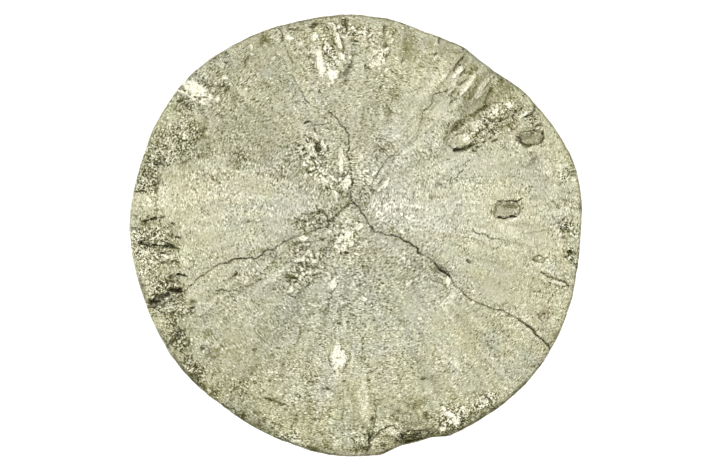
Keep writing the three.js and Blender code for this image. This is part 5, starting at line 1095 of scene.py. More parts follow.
@dataclass
class Relief:
    """The height of the disc's skin anywhere on it, and what its finish follows."""

    forms: DiscForms
    step_edge: float = 1.5
    step_fade: Range = (2.0, 18.0)
    hollow_fade: Range = (0.3, 1.0)
    rough_edge: float = 0.6
    rough_waver: Waver = Waver(((1.4, 2.6, 5, 6),))
    crack_waver: Waver = Waver(((0.16, 0.8, 21, 22), (0.1, 0.34, 23, 24)))
    mark_edge: Cloud = Cloud(((0.4, 0.45, 35), (0.25, 0.22, 36)))
    mark_fade: Range = (0.75, 1.2)
    mark_reach: float = 1.7
    dent_depth: float = 0.22
    flash_height: float = 0.16
    pit_edge: Cloud = Cloud(((0.22, 0.9, 31), (0.12, 0.4, 32)))
    pit_fade: Range = (0.82, 1.08)
    large_faces: Facets = Facets(1.5, 0.05, 0.02, 41)
    small_faces: Facets = Facets(0.5, 0.16, 0.02, 51)
    even_faces: Facets = Facets(0.9, 0.045, 0.008, 61)
    even_faces_lost: float = 0.5
    fibres: Streaks = Streaks(((1.0, 7.0, 34.0, 71), (0.6, 3.0, 70.0, 72)))
    fibre_height: float = 0.035
    fibre_fade: Range = (4.0, 16.0)
    ripple_bend: Cloud = Cloud(((2.4, 3.0, 73), (1.5, 1.2, 74)))
    ripple_rate: float = 4.6
    ripple_height: float = 0.012
    back_cloud: Cloud = Cloud(((0.1, 2.2, 81), (0.06, 1.0, 82)), 0.06)
    back_curve: float = 1.3
    back_fade: float = 0.2

    def rim_radius(self, angle: np.ndarray) -> np.ndarray:
        """Gives the distance of the rim from the middle of the disc.

        Args:
            angle: bearings in radians.

        Returns:
            Distances in millimetres.
        """
        bearing = np.degrees(angle)
        radius = np.full(angle.shape, self.forms.rim_radius)
        for form in self.forms.rim_forms:
            radius += form.out * bell(turn_from(bearing, form.at), form.half)
        return radius

    def growth(self, x: np.ndarray, y: np.ndarray) -> tuple[np.ndarray, np.ndarray]:
        """Gives places as seen from the growth centre.

        Args:
            x: places across.
            y: places up.

        Returns:
            Distances in millimetres and angles in radians.
        """
        apart_x, apart_y = x - self.forms.growth_x, y - self.forms.growth_y
        return np.hypot(apart_x, apart_y), np.arctan2(apart_y, apart_x)

    def rib_height(self, angle: np.ndarray) -> np.ndarray:
        """Gives the height of the ribs at angles about the growth centre, in millimetres."""
        return sum(height * np.cos(count * angle + phase) for count, height, phase in self.forms.ribs)

    def roughness(self, x: np.ndarray, y: np.ndarray) -> np.ndarray:
        """Gives how much the crystals stand out.

        Args:
            x: places across.
            y: places up.

        Returns:
            0 on the even skin, 1 or a little more in a rough patch.
        """
        ragged_x, ragged_y = self.rough_waver.shift(x, y)
        cover = np.zeros(x.shape)
        for patch in self.forms.rough:
            cover = np.maximum(cover, patch.cover(ragged_x, ragged_y, self.rough_edge))
        return cover

    def crack_distances(self, x: np.ndarray, y: np.ndarray) -> list[tuple[Crack, np.ndarray]]:
        """Measures the distance to each crack, whose route is made ragged.

        Args:
            x: places across.
            y: places up.

        Returns:
            Each crack with its distances in millimetres.
        """
        ragged_x, ragged_y = self.crack_waver.shift(x, y)
        return [(crack, crack.distance(ragged_x, ragged_y)) for crack in self.forms.cracks]

    def marks(
        self, marks: Patches, x: np.ndarray, y: np.ndarray, slim: float = 1.0, grow: float = 0.0
    ) -> np.ndarray:
        """Gives where small marks lie, with ragged outlines.

        Args:
            marks: the marks, each as the numbers of an oval.
            x: places across.
            y: places up.
            slim: the share of its width that each mark keeps.
            grow: how much wider each mark is taken, in millimetres.

        Returns:
            For each place, the amount of the strongest mark there, and 0 where there is none.
        """
        ragged = self.mark_edge.at(x, y)
        cover = np.zeros(x.shape)
        for across, up, long, wide, *rest in marks:
            mark = Oval(across, up, long + grow, wide * slim + grow, *rest)
            near = mark.near(x, y, max(mark.long, mark.wide) * self.mark_reach)
            reach = mark.reach(x[near], y[near]) + ragged[near]
            cover[near] = np.maximum(cover[near], mark.amount * (1.0 - smooth_step(reach, *self.mark_fade)))
        return cover

    def dents(self, x: np.ndarray, y: np.ndarray, grow: float = 0.0) -> np.ndarray:
        """Gives where small dark dents lie, from 0 to 1."""
        return self.marks(self.forms.dents, x, y, self.forms.dent_slimness, grow)

    def pit_shares(self, x: np.ndarray, y: np.ndarray) -> list[tuple[Oval, np.ndarray]]:
        """Gives how far down into each pit places are.

        Args:
            x: places across.
            y: places up.

        Returns:
            Each pit with its shares, 0 outside and 1 on its floor.
        """
        ragged = self.pit_edge.at(x, y)
        return [(pit, 1.0 - smooth_step(pit.reach(x, y) + ragged, *self.pit_fade)) for pit in self.forms.pits]

    def pit_wall(self, x: np.ndarray, y: np.ndarray) -> np.ndarray:
        """Gives where the pits' steep walls are.

        Args:
            x: places across.
            y: places up.

        Returns:
            1 on a wall, 0 on a floor and outside.
        """
        return np.max([4.0 * share * (1.0 - share) for _, share in self.pit_shares(x, y)], axis=0)

    def front(self, x: np.ndarray, y: np.ndarray) -> np.ndarray:
        """Gives the height of the front over the surface that the disc rests on.

        Args:
            x: places across.
            y: places up.

        Returns:
            Heights in millimetres.
        """
        forms = self.forms
        out = np.hypot(x, y) / forms.rim_radius
        reach, angle = self.growth(x, y)
        height = forms.rim_top + (forms.centre_thickness - forms.rim_top) * (1.0 - out * out)
        relief = self.rib_height(angle)
        for start, end, lift in forms.steps:
            turn = (np.degrees(angle) - start) % FULL_TURN
            begun = smooth_step(turn, 0.0, self.step_edge)
            ended = smooth_step(turn, end - start, end - start + self.step_edge)
            relief += lift * begun * (1.0 - ended)
        height += relief * smooth_step(reach, *self.step_fade)
        for hollow in forms.hollows:
            height -= hollow.amount * (1.0 - smooth_step(hollow.reach(x, y), *self.hollow_fade))
        height -= np.max([pit.amount * share for pit, share in self.pit_shares(x, y)], axis=0)
        height += self.skin(x, y)
        for crack, apart in self.crack_distances(x, y):
            height -= crack.depth * (1.0 - smooth_step(apart, 0.0, crack.width))
        height -= self.dent_depth * self.dents(x, y)
        return height + self.flash_height * self.marks(forms.crystal_glints, x, y)

    def skin(self, x: np.ndarray, y: np.ndarray) -> np.ndarray:
        """Gives the fine relief of the front: crystal faces, fibres that fan out and growth ripples.

        Args:
            x: places across.
            y: places up.

        Returns:
            Heights in millimetres, about 0.
        """
        reach, angle = self.growth(x, y)
        rough = self.roughness(x, y)
        fibres = self.fibre_height * self.fibres.at(reach, angle) * smooth_step(reach, *self.fibre_fade)
        ripples = np.sin(reach * self.ripple_rate + self.ripple_bend.at(x, y))
        height = rough * (self.large_faces.height(x, y) + self.small_faces.height(x, y))
        height += (1.0 - self.even_faces_lost * rough) * (self.even_faces.height(x, y) + fibres)
        return height + self.ripple_height * ripples * (1.0 - rough)

    def back(self, x: np.ndarray, y: np.ndarray) -> np.ndarray:
        """Gives the height of the back: flat where the disc rests, then rising to the rim.

        Args:
            x: places across.
            y: places up.

        Returns:
            Heights in millimetres.
        """
        forms = self.forms
        out = (np.hypot(x, y) - forms.rest_radius) / (forms.rim_radius - forms.rest_radius)
        out = np.clip(out, 0.0, None)
        rise = forms.back_rise + self.rib_height(self.growth(x, y)[1])
        uneven = self.back_cloud.at(x, y) * smooth_step(out, 0.0, self.back_fade)
        return rise * out ** self.back_curve + uneven


@dataclass
class SkinMarks:
    """What the finish follows over the skin, written on the points of the mesh."""

    relief: Relief
    front_heights: Range = (1.5, 3.0)
    patch_waver: Waver = Waver(((0.5, 1.3, 107, 108), (0.25, 0.6, 109, 110)))
    patch_margin: float = 0.8
    patch_edge: float = 0.8
    fan_waver: Cloud = Cloud(((3.0, 9.0, 101), (2.0, 3.0, 102)))
    fan_strength: float = 0.2
    fan_start: Range = (0.4, 1.6)
    broad_streaks: Streaks = Streaks(((1.0, 16.0, 9.0, 103), (0.7, 9.0, 22.0, 104)))
    fine_streaks: Streaks = Streaks(((1.0, 5.0, 38.0, 105), (0.6, 3.0, 75.0, 106)))
    broad_strength: float = 0.08
    fine_strength: float = 0.1
    streak_fade: Range = (3.0, 14.0)
    ray_waver: Waver = Waver(((0.25, 1.6, 114, 115),))
    ray_breaks: Cloud = Cloud(((0.7, 0.8, 116),), 1.0)
    ray_margin: float = 1.0
    tint_cloud: Cloud = Cloud(((0.25, 6.0, 111), (0.25, 2.2, 112)))
    tint_streaks: Streaks = Streaks(((0.2, 9.0, 22.0, 113),))
    tint_least: float = 0.3
    tint_rise: float = 0.4
    tint_fade: Range = (8.0, 34.0)
    warm_cloud: Cloud = Cloud(((0.2, 3.0, 131), (0.15, 1.0, 132)), 0.28)
    busy_cloud: Cloud = Cloud(((0.3, 4.5, 121), (0.35, 1.8, 122)), 0.92)
    busy_range: Range = (0.2, 2.0)
    crack_cloud: Cloud = Cloud(((0.3, 1.2, 25), (0.25, 0.4, 28)), 0.8)
    crack_fade: Range = (0.2, 0.8)
    dent_dark: float = 0.85
    wall_dark: float = 0.1
    under_rim: tuple[float, float, float, float] = (205.0, 230.0, 312.0, 330.0)
    under_width: Cloud = Cloud(((0.3, 2.2, 26),), 0.35)
    rim_width: float = 0.42
    rim_inner: float = 0.5
    rim_cloud: Cloud = Cloud(((0.2, 1.1, 27),))
    rim_dark: float = 0.62
    under_dark: float = 0.2
    band_edge: Cloud = Cloud(((0.5, 1.3, 29), (0.3, 0.5, 30)))
    band_cloud: Cloud = Cloud(((0.5, 0.9, 33),), 0.8)
    band_side: float = 0.6
    band_inner: float = 0.7

    def write(self, disc: bpy.types.Object) -> None:
        """Writes each mark as a number on the disc's points.

        Args:
            disc: the disc.
        """
        mesh = disc.data
        points = np.empty(len(mesh.vertices) * 3)
        mesh.vertices.foreach_get("co", points)
        x, y, z = (points.reshape(-1, 3) / MM).T
        up = smooth_step(z, *self.front_heights)
        forms = self.relief.forms
        # Painted light is among these marks: sheen, light and shade in the skin's lightness; shade in cracks,
        # dents, pit walls and along the rim; glints on bright crystals; sparkle in glitter patches.
        marks = {
            "tone_and_painted_light": self.tone_and_painted_light(x, y),
            "tint": self.tint(x, y),
            "busy": np.clip(self.busy_cloud.at(x, y) + self.patches(forms.calms, x, y), *self.busy_range),
            "warm": np.clip(self.warm_cloud.at(x, y) + self.patches(forms.warmths, x, y), 0.0, 1.0),
            "rough_skin": self.relief.roughness(x, y),
            "dark": np.maximum(self.crevice_dirt_and_shade(x, y), self.rim_shade(x, y)) * up,
            "painted_glint": self.relief.marks(forms.crystal_glints, x, y) * up,
            "glitter": np.max([patch.cover(x, y, self.patch_edge) for patch in forms.glitter], axis=0) * up,
        }
        for name, values in marks.items():
            attribute = mesh.attributes.new(name, "FLOAT", "POINT")
            attribute.data.foreach_set("value", values.astype(np.float32))

    def patches(self, patches: Patches, x: np.ndarray, y: np.ndarray) -> np.ndarray:
        """Adds up soft patches with ragged edges.

        Args:
            patches: the patches, each as the numbers of an oval.
            x: places across.
            y: places up.

        Returns:
            The sum of the patches' amounts at each place.
        """
        ragged_x, ragged_y = self.patch_waver.shift(x, y)
        total = np.zeros(x.shape)
        for numbers in patches:
            patch = Oval(*numbers)
            near = patch.near(x, y, max(patch.long, patch.wide) + self.patch_margin)
            total[near] += patch.cover(ragged_x[near], ragged_y[near], self.patch_edge)
        return total

    def tone_and_painted_light(self, x: np.ndarray, y: np.ndarray) -> np.ndarray:
        """Gives how light the skin is: the crystals' own lightness and streaks, with painted sheen in the fan
        sectors and painted light and shade in the rays and patches.

        Args:
            x: places across.
            y: places up.

        Returns:
            Numbers about 0, as shares of the skin's own lightness.
        """
        forms = self.relief.forms
        reach, angle = self.relief.growth(x, y)
        bearing = np.degrees(angle) + self.fan_waver.at(x, y)
        tone_and_painted_light = np.zeros(x.shape)
        # Painted sheen, lighter or darker by bearing from the growth centre.
        for fan in forms.sheen_fans:
            begun = smooth_step(reach, *(fan.inner * share for share in self.fan_start))
            tone_and_painted_light += self.fan_strength * fan.amount * bell(turn_from(bearing, fan.at), fan.half) * begun
        streaks = self.broad_strength * self.broad_streaks.at(reach, angle)
        streaks += self.fine_strength * self.fine_streaks.at(reach, angle)
        tone_and_painted_light += streaks * smooth_step(reach, *self.streak_fade)
        bent_x, bent_y = self.ray_waver.shift(x, y)
        broken = self.ray_breaks.at(x, y)
        for start_x, start_y, end_x, end_y, half, amount in forms.rays:
            ray = Crack(((start_x, start_y), (end_x, end_y)))
            middle = (start_x + end_x) / 2.0, (start_y + end_y) / 2.0
            half_side = max(abs(end_x - start_x), abs(end_y - start_y)) / 2.0 + self.ray_margin
            near = places_near(x, y, middle, half_side)
            apart = ray.distance(bent_x[near], bent_y[near])
            tone_and_painted_light[near] += amount * broken[near] * (1.0 - smooth_step(apart, 0.0, half))
        return tone_and_painted_light + forms.glow_strength * self.patches(forms.glows, x, y) + self.patches(forms.shades, x, y)

    def tint(self, x: np.ndarray, y: np.ndarray) -> np.ndarray:
        """Gives how yellow the pyrite is: grey at the growth centre, yellower towards the rim.

        Args:
            x: places across.
            y: places up.

        Returns:
            Numbers from 0 to 1.
        """
        reach, angle = self.relief.growth(x, y)
        tint = self.tint_least + self.tint_rise * smooth_step(reach, *self.tint_fade)
        tint += self.tint_cloud.at(x, y) + self.tint_streaks.at(reach, angle)
        return np.clip(tint + self.patches(self.relief.forms.tints, x, y), 0.0, 1.0)

    def crevice_dirt_and_shade(self, x: np.ndarray, y: np.ndarray) -> np.ndarray:
        """Gives where the skin is darkened in the cracks and dents and on the pits' walls: painted shade,
        with some tarnish.

        Args:
            x: places across.
            y: places up.

        Returns:
            Numbers from 0 to about 1.
        """
        dark = np.zeros(x.shape)
        faint = self.crack_cloud.at(x, y)
        low, high = self.crack_fade
        for crack, apart in self.relief.crack_distances(x, y):
            fade = 1.0 - smooth_step(apart, crack.width * low, crack.width * high)
            dark = np.maximum(dark, crack.darkness * faint * fade)
        dark = np.maximum(dark, self.dent_dark * self.relief.dents(x, y))
        return np.maximum(dark, self.wall_dark * self.relief.pit_wall(x, y))

    def rim_shade(self, x: np.ndarray, y: np.ndarray) -> np.ndarray:
        """Gives the shade along the rim: a thin line all round, wider below, and the dark bands.

        Args:
            x: places across.
            y: places up.

        Returns:
            Numbers from 0 to about 1.
        """
        angle = np.arctan2(y, x)
        bearing = np.degrees(angle) % FULL_TURN
        inward = self.relief.rim_radius(angle) - np.hypot(x, y)
        first, full, last, gone = self.under_rim
        under = smooth_step(bearing, first, full) * (1.0 - smooth_step(bearing, last, gone))
        width = self.rim_width + under * self.under_width.at(x, y)
        shade = self.rim_dark + self.under_dark * under + self.rim_cloud.at(x, y)
        shade = shade * (1.0 - smooth_step(inward, self.rim_inner * width, width))
        ragged = inward + self.band_edge.at(x, y)
        cloud = self.band_cloud.at(x, y)
        for at, half, deep, amount in self.relief.forms.rim_bands:
            share = 1.0 - smooth_step(turn_from(bearing, at), self.band_side * half, half)
            fade = 1.0 - smooth_step(ragged, self.band_inner * deep, deep)
            shade = np.maximum(shade, share * amount * cloud * fade)
        return shade


class Side(Enum):
    """A part of the net, as the height above which its faces lie."""

    FRONT_AND_RIM = -0.499
    FRONT = 0.499


@dataclass
class PyriteDisc:
    """The disc: a net of squares over front, rim and back, drawn round, made finer where it is rough."""

    forms: DiscForms = field(default_factory=DiscForms)
    net_across: int = 24
    net_cuts: int = 3
    rough_from: float = 0.35
    near_marks: float = 0.5
    mark_margin: float = 0.2
    flash_core: float = 0.9
    near_cracks: float = 0.13
    on_rim: float = 0.9999
    on_front: float = 0.999
    jitter: float = 0.3
    lift: float = 0.02
    rough_lift: float = 0.04
    usual_pitch: float = 0.3
    too_short: float = 1e-6
    rim_zone: Range = (0.97, 1.0)
    rim_cloud: Cloud = Cloud(((0.07, 1.1, 91), (0.04, 0.5, 92)))
    rim_run: float = 39.0
    rim_half_height: float = 1.6
    edge_zone: Range = (0.985, 1.0)
    edge_drop: float = 0.15
    seed: int = 7

    def __post_init__(self) -> None:
        """Works out the relief and where the disc stands in the frame."""
        self.relief = Relief(self.forms)
        low, high = (np.array(corner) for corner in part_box(DISC_NODE))
        self.box_low, self.box_high = low / MM, high / MM

    def build(self) -> bpy.types.Object:
        """Models the disc.

        Returns:
            The disc, with its finish still to come.
        """
        disc = self._blank()
        self._refine(disc)
        self._shape(disc)
        self._cut_into_triangles(disc)
        SkinMarks(self.relief).write(disc)
        return disc

    def _blank(self) -> bpy.types.Object:
        """Makes the net: a slab two units wide with squares on its front, rim and back.

        Returns:
            The slab.
        """
        bpy.ops.object.select_all(action="DESELECT")
        bpy.ops.mesh.primitive_grid_add(
            x_subdivisions=self.net_across, y_subdivisions=self.net_across, size=2, location=(0, 0, 0.5)
        )
        disc = bpy.context.object
        disc.name = disc.data.name = DISC_PIECE
        bpy.ops.object.mode_set(mode="EDIT")
        bpy.ops.mesh.select_all(action="SELECT")
        bpy.ops.mesh.extrude_region_move(TRANSFORM_OT_translate={"value": (0, 0, -1)})
        bpy.ops.mesh.select_all(action="SELECT")
        bpy.ops.mesh.normals_make_consistent(inside=False)
        bpy.ops.mesh.subdivide(number_cuts=self.net_cuts)
        bpy.ops.object.mode_set(mode="OBJECT")
        bpy.ops.object.transform_apply(location=True, rotation=True, scale=True)
        return disc

    def _place(self, square: np.ndarray) -> tuple[np.ndarray, np.ndarray, np.ndarray]:
        """Draws the square net round.

        Args:
            square: points of the slab, from -1 to 1 across and up.

        Returns:
            Places across and up in millimetres, and the share of the way out to the rim.
        """
        u, v = square[:, 0], square[:, 1]
        wide = np.abs(u) > np.abs(v)
        out = np.where(wide, np.abs(u), np.abs(v))
        slope = np.where(wide, v / np.where(wide, u, 1.0), u / np.where(wide | (v == 0), 1.0, v))
        eighth = np.pi / 4.0
        angle = np.where(
            wide,
            eighth * slope + np.where(u < 0, np.pi, 0.0),
            2.0 * eighth - eighth * slope + np.where(v < 0, np.pi, 0.0),
        )
        radius = self.relief.rim_radius(angle) * out
        return radius * np.cos(angle), radius * np.sin(angle), out

    def _split(self, disc: bpy.types.Object, chosen: np.ndarray) -> None:
        """Splits the chosen faces in four.

        Args:
            disc: the net.
            chosen: for each face, whether it is split.
        """
        mesh = disc.data
        mesh.vertices.foreach_set("select", np.zeros(len(mesh.vertices), bool))
        mesh.edges.foreach_set("select", np.zeros(len(mesh.edges), bool))
        mesh.polygons.foreach_set("select", chosen)
        bpy.context.tool_settings.mesh_select_mode = (False, False, True)
        bpy.ops.object.mode_set(mode="EDIT")
        bpy.ops.mesh.subdivide(number_cuts=1)
        bpy.ops.object.mode_set(mode="OBJECT")

    def _face_centres(self, disc: bpy.types.Object) -> np.ndarray:
        """Reads the middles of the net's faces.

        Args:
            disc: the net.

        Returns:
            One point a face, in the slab's own units.
        """
        mesh = disc.data
        centres = np.empty(len(mesh.polygons) * 3)
        mesh.polygons.foreach_get("center", centres)
        return centres.reshape(-1, 3)

    def _refine(self, disc: bpy.types.Object) -> None:
        """Makes the net finer on front and rim, finer again at marks and rough patches, and finest at cracks.

        Args:
            disc: the net.
        """
        self._split(disc, self._face_centres(disc)[:, 2] > Side.FRONT_AND_RIM.value)
        for is_near in (self._near_marks, self._near_cracks):
            centres = self._face_centres(disc)
            x, y, _ = self._place(centres)
            self._split(disc, is_near(x, y) & (centres[:, 2] > Side.FRONT.value))
            log.info("disc: net of %d faces", len(disc.data.polygons))

    def _at_cracks(self, x: np.ndarray, y: np.ndarray, within: float) -> np.ndarray:
        """Tells which places are at a crack.

        Args:
            x: places across.
            y: places up.
            within: how far from the crack's route that may be, in millimetres.

        Returns:
            For each place, whether it is.
        """
        return np.min([apart for _, apart in self.relief.crack_distances(x, y)], axis=0) < within

    def _near_cracks(self, x: np.ndarray, y: np.ndarray) -> np.ndarray:
        """Tells which places need the smallest faces, because they lie in a crack."""
        return self._at_cracks(x, y, self.near_cracks)

    def _near_marks(self, x: np.ndarray, y: np.ndarray) -> np.ndarray:
        """Tells which places need small faces.

        Args:
            x: places across.
            y: places up.

        Returns:
            For each place, whether a rough patch, crack, pit's edge, dent or crystal with a painted glint is
            near.
        """
        near = (self.relief.roughness(x, y) > self.rough_from) | self._at_cracks(x, y, self.near_marks)
        for pit in self.forms.pits:
            near |= np.abs(pit.reach(x, y) - 1.0) * pit.wide < self.near_marks
        near |= self.relief.dents(x, y, self.mark_margin) > 0.0
        crystal_glints = self.relief.marks(self.forms.crystal_glints, x, y, grow=self.mark_margin)
        return near | ((crystal_glints > 0.0) & (crystal_glints < self.flash_core))

    def _shape(self, disc: bpy.types.Object) -> None:
        """Moves the net's points to the disc's skin.

        Args:
            disc: the net.
        """
        mesh = disc.data
        count = len(mesh.vertices)
        square = np.empty(count * 3)
        mesh.vertices.foreach_get("co", square)
        square = square.reshape(-1, 3)
        x, y, out = self._place(square)
        level = square[:, 2] * 2.0
        angle = np.arctan2(y, x)

        random = np.random.default_rng(self.seed)
        pitch = self._pitch(disc, x, y)
        inside = np.where((out > self.on_rim) | (level < self.on_front), 0.0, 1.0)
        x += inside * pitch * self.jitter * random.uniform(-1, 1, count)
        y += inside * pitch * self.jitter * random.uniform(-1, 1, count)

        radius = np.hypot(x, y)
        rim_share = smooth_step(out, *self.rim_zone)
        ragged = self.rim_cloud.at(angle * self.rim_run, level * self.rim_half_height)
        radius_new = radius - self.forms.rim_rounding * level ** 2 * rim_share + ragged * rim_share
        scale = np.where(radius > self.too_short, radius_new / np.maximum(radius, self.too_short), 1.0)
        x, y = x * scale, y * scale

        drop = self.edge_drop * smooth_step(out, *self.edge_zone)
        lift = self.lift + self.rough_lift * self.relief.roughness(x, y)
        lift = inside * pitch * lift * random.uniform(-1, 1, count)
        front = self.relief.front(x, y) - drop + lift
        back = self.relief.back(x, y) + drop
        z = back + (front - back) * (level + 1.0) / 2.0
        points = np.stack([x, y, z], axis=1)
        points[:, :2] += (self.box_low[:2] + self.box_high[:2]) / 2.0 - self._middle(points)
        mesh.vertices.foreach_set("co", (points * MM).ravel())
        mesh.update()

    def _middle(self, points: np.ndarray) -> np.ndarray:
        """Gives the middle of the outline's box, across and up."""
        return (points[:, :2].min(axis=0) + points[:, :2].max(axis=0)) / 2.0

    def _pitch(self, disc: bpy.types.Object, x: np.ndarray, y: np.ndarray) -> np.ndarray:
        """Measures how fine the net is at each of its points.

        Args:
            disc: the net.
            x: places of its points across.
            y: places of its points up.

        Returns:
            The length of the shortest edge at each point, in millimetres.
        """
        mesh = disc.data
        ends = np.empty(len(mesh.edges) * 2, dtype=np.int32)
        mesh.edges.foreach_get("vertices", ends)
        first, second = ends.reshape(-1, 2).T
        length = np.hypot(x[first] - x[second], y[first] - y[second])
        length = np.where(length < self.too_short, np.inf, length)
        pitch = np.full(len(mesh.vertices), np.inf)
        np.minimum.at(pitch, first, length)
        np.minimum.at(pitch, second, length)
        return np.where(np.isfinite(pitch), pitch, self.usual_pitch)

    def _cut_into_triangles(self, disc: bpy.types.Object) -> None:
        """Turns every face into flat triangles.

        Args:
            disc: the disc.
        """
        bpy.ops.object.mode_set(mode="EDIT")
        bpy.ops.mesh.select_all(action="SELECT")
        bpy.ops.mesh.quads_convert_to_tris(quad_method="SHORTEST_DIAGONAL", ngon_method="BEAUTY")
        bpy.ops.mesh.normals_make_consistent(inside=False)
        bpy.ops.object.mode_set(mode="OBJECT")
        bpy.ops.object.shade_flat()


@dataclass(frozen=True)
class Signal:
    """A number that varies over a surface: the output of a node, with the maths that it takes part in."""

    graph: "Graph"
    socket: bpy.types.NodeSocket

    def __add__(self, other: "Signal | float") -> "Signal":
        """Adds a number or signal."""
        return self.graph.maths("ADD", self, other)

    def __radd__(self, other: float) -> "Signal":
        """Is added to a number."""
        return self.graph.maths("ADD", other, self)

    def __sub__(self, other: "Signal | float") -> "Signal":
        """Takes a number or signal away."""
        return self.graph.maths("SUBTRACT", self, other)

    def __rsub__(self, other: float) -> "Signal":
        """Is taken away from a number."""
        return self.graph.maths("SUBTRACT", other, self)

    def __mul__(self, other: "Signal | float") -> "Signal":
        """Multiplies by a number or signal."""
        return self.graph.maths("MULTIPLY", self, other)

    def __rmul__(self, other: float) -> "Signal":
        """Multiplies a number."""
        return self.graph.maths("MULTIPLY", other, self)

    def __truediv__(self, other: "Signal | float") -> "Signal":
        """Divides by a number or signal."""
        return self.graph.maths("DIVIDE", self, other)

    def step(self, low: float, high: float) -> "Signal":
        """Eases from 0 to 1 between two values.

        Args:
            low: where the step starts.
            high: where the step ends.

        Returns:
            The eased signal.
        """
        inputs = {0: self, 1: low, 2: high, 3: 0.0, 4: 1.0}
        node = self.graph.node("ShaderNodeMapRange", {"interpolation_type": "SMOOTHSTEP"}, inputs)
        return Signal(self.graph, node.outputs[0])


class Graph:
    """The node tree of one finish."""

    def __init__(self, tree: bpy.types.NodeTree) -> None:
        """Empties the tree.

        Args:
            tree: the node tree to fill.
        """
        self.tree = tree
        tree.nodes.clear()

    def node(
        self, kind: str, settings: dict[str, Any] | None = None, inputs: dict[str | int, Any] | None = None
    ) -> bpy.types.Node:
        """Adds a node, with its settings first and then its sockets.

        Args:
            kind: the node's type.
            settings: its properties.
            inputs: the value, signal or socket for each input, by name or number.

        Returns:
            The node.
        """
        node = self.tree.nodes.new(kind)
        for name, value in (settings or {}).items():
            setattr(node, name, value)
        for key, value in (inputs or {}).items():
            source = value.socket if isinstance(value, Signal) else value
            if isinstance(source, bpy.types.NodeSocket):
                self.tree.links.new(source, node.inputs[key])
            else:
                node.inputs[key].default_value = source
        return node

    def maths(self, operation: str, *values: Signal | float) -> Signal:
        """Adds one Math node.

        Args:
            operation: what it does.
            values: its numbers or signals.

        Returns:
            Its result.
        """
        node = self.node("ShaderNodeMath", {"operation": operation}, dict(enumerate(values)))
        return Signal(self, node.outputs[0])

    def attribute(self, name: str) -> Signal:
        """Reads a number that the mesh's points hold."""
        return Signal(self, self.node("ShaderNodeAttribute", {"attribute_name": name}).outputs["Fac"])

    def mix_colour(self, share: Signal | float, first: Any, second: Any) -> bpy.types.NodeSocket:
        """Mixes two colours.

        Args:
            share: how much of the second.
            first: a colour or colour socket.
            second: a colour or colour socket.

        Returns:
            The mixed colour's socket.
        """
        settings = {"data_type": "RGBA", "clamp_factor": True}
        return self.node("ShaderNodeMix", settings, {0: share, 6: first, 7: second}).outputs[2]

    def vector(self, operation: str, *values: Any) -> bpy.types.NodeSocket:
        """Adds one Vector Math node.

        Args:
            operation: what it does.
            values: its vectors.

        Returns:
            The resulting vector's socket.
        """
        return self.node("ShaderNodeVectorMath", {"operation": operation}, dict(enumerate(values))).outputs[0]

    def scaled(self, vector: bpy.types.NodeSocket, factor: Signal | float) -> bpy.types.NodeSocket:
        """Multiplies a vector by one number.

        Args:
            vector: the vector's socket.
            factor: the number or signal.

        Returns:
            The scaled vector's socket.
        """
        node = self.node("ShaderNodeVectorMath", {"operation": "SCALE"}, {0: vector, "Scale": factor})
        return node.outputs[0]

    def dot(self, first: bpy.types.NodeSocket, second: bpy.types.NodeSocket) -> Signal:
        """Multiplies two vectors into one number.

        Args:
            first: a vector's socket.
            second: a vector's socket.

        Returns:
            Their dot product.
        """
        node = self.node("ShaderNodeVectorMath", {"operation": "DOT_PRODUCT"}, {0: first, 1: second})
        return Signal(self, node.outputs["Value"])

    def parts(self, vector: bpy.types.NodeSocket) -> tuple[Signal, ...]:
        """Takes a vector or colour apart into its three numbers."""
        node = self.node("ShaderNodeSeparateXYZ", None, {0: vector})
        return tuple(Signal(self, output) for output in node.outputs)

    def cells(self, place: bpy.types.NodeSocket, size: float, **settings: str) -> bpy.types.Node:
        """Shares space out among scattered points.

        Args:
            place: where it is read.
            size: how far the points are apart.
            settings: further properties of the node, such as what it measures.

        Returns:
            The node, with a random colour and the nearest point's place.
        """
        spread = self.scaled(place, 1.0 / size)
        return self.node("ShaderNodeTexVoronoi", settings, {"Vector": spread, "Scale": 1.0})

    def noise(
        self, place: bpy.types.NodeSocket, scale: float, detail: float = 2.0, roughness: float = 0.6
    ) -> Signal:
        """Adds noise.

        Args:
            place: where it is read.
            scale: how many lumps a unit.
            detail: how many finer layers.
            roughness: how strong the finer layers are.

        Returns:
            Numbers from 0 to 1, mostly near 0.5.
        """
        inputs = {"Vector": place, "Scale": scale, "Detail": detail, "Roughness": roughness}
        return Signal(self, self.node("ShaderNodeTexNoise", None, inputs).outputs[0])


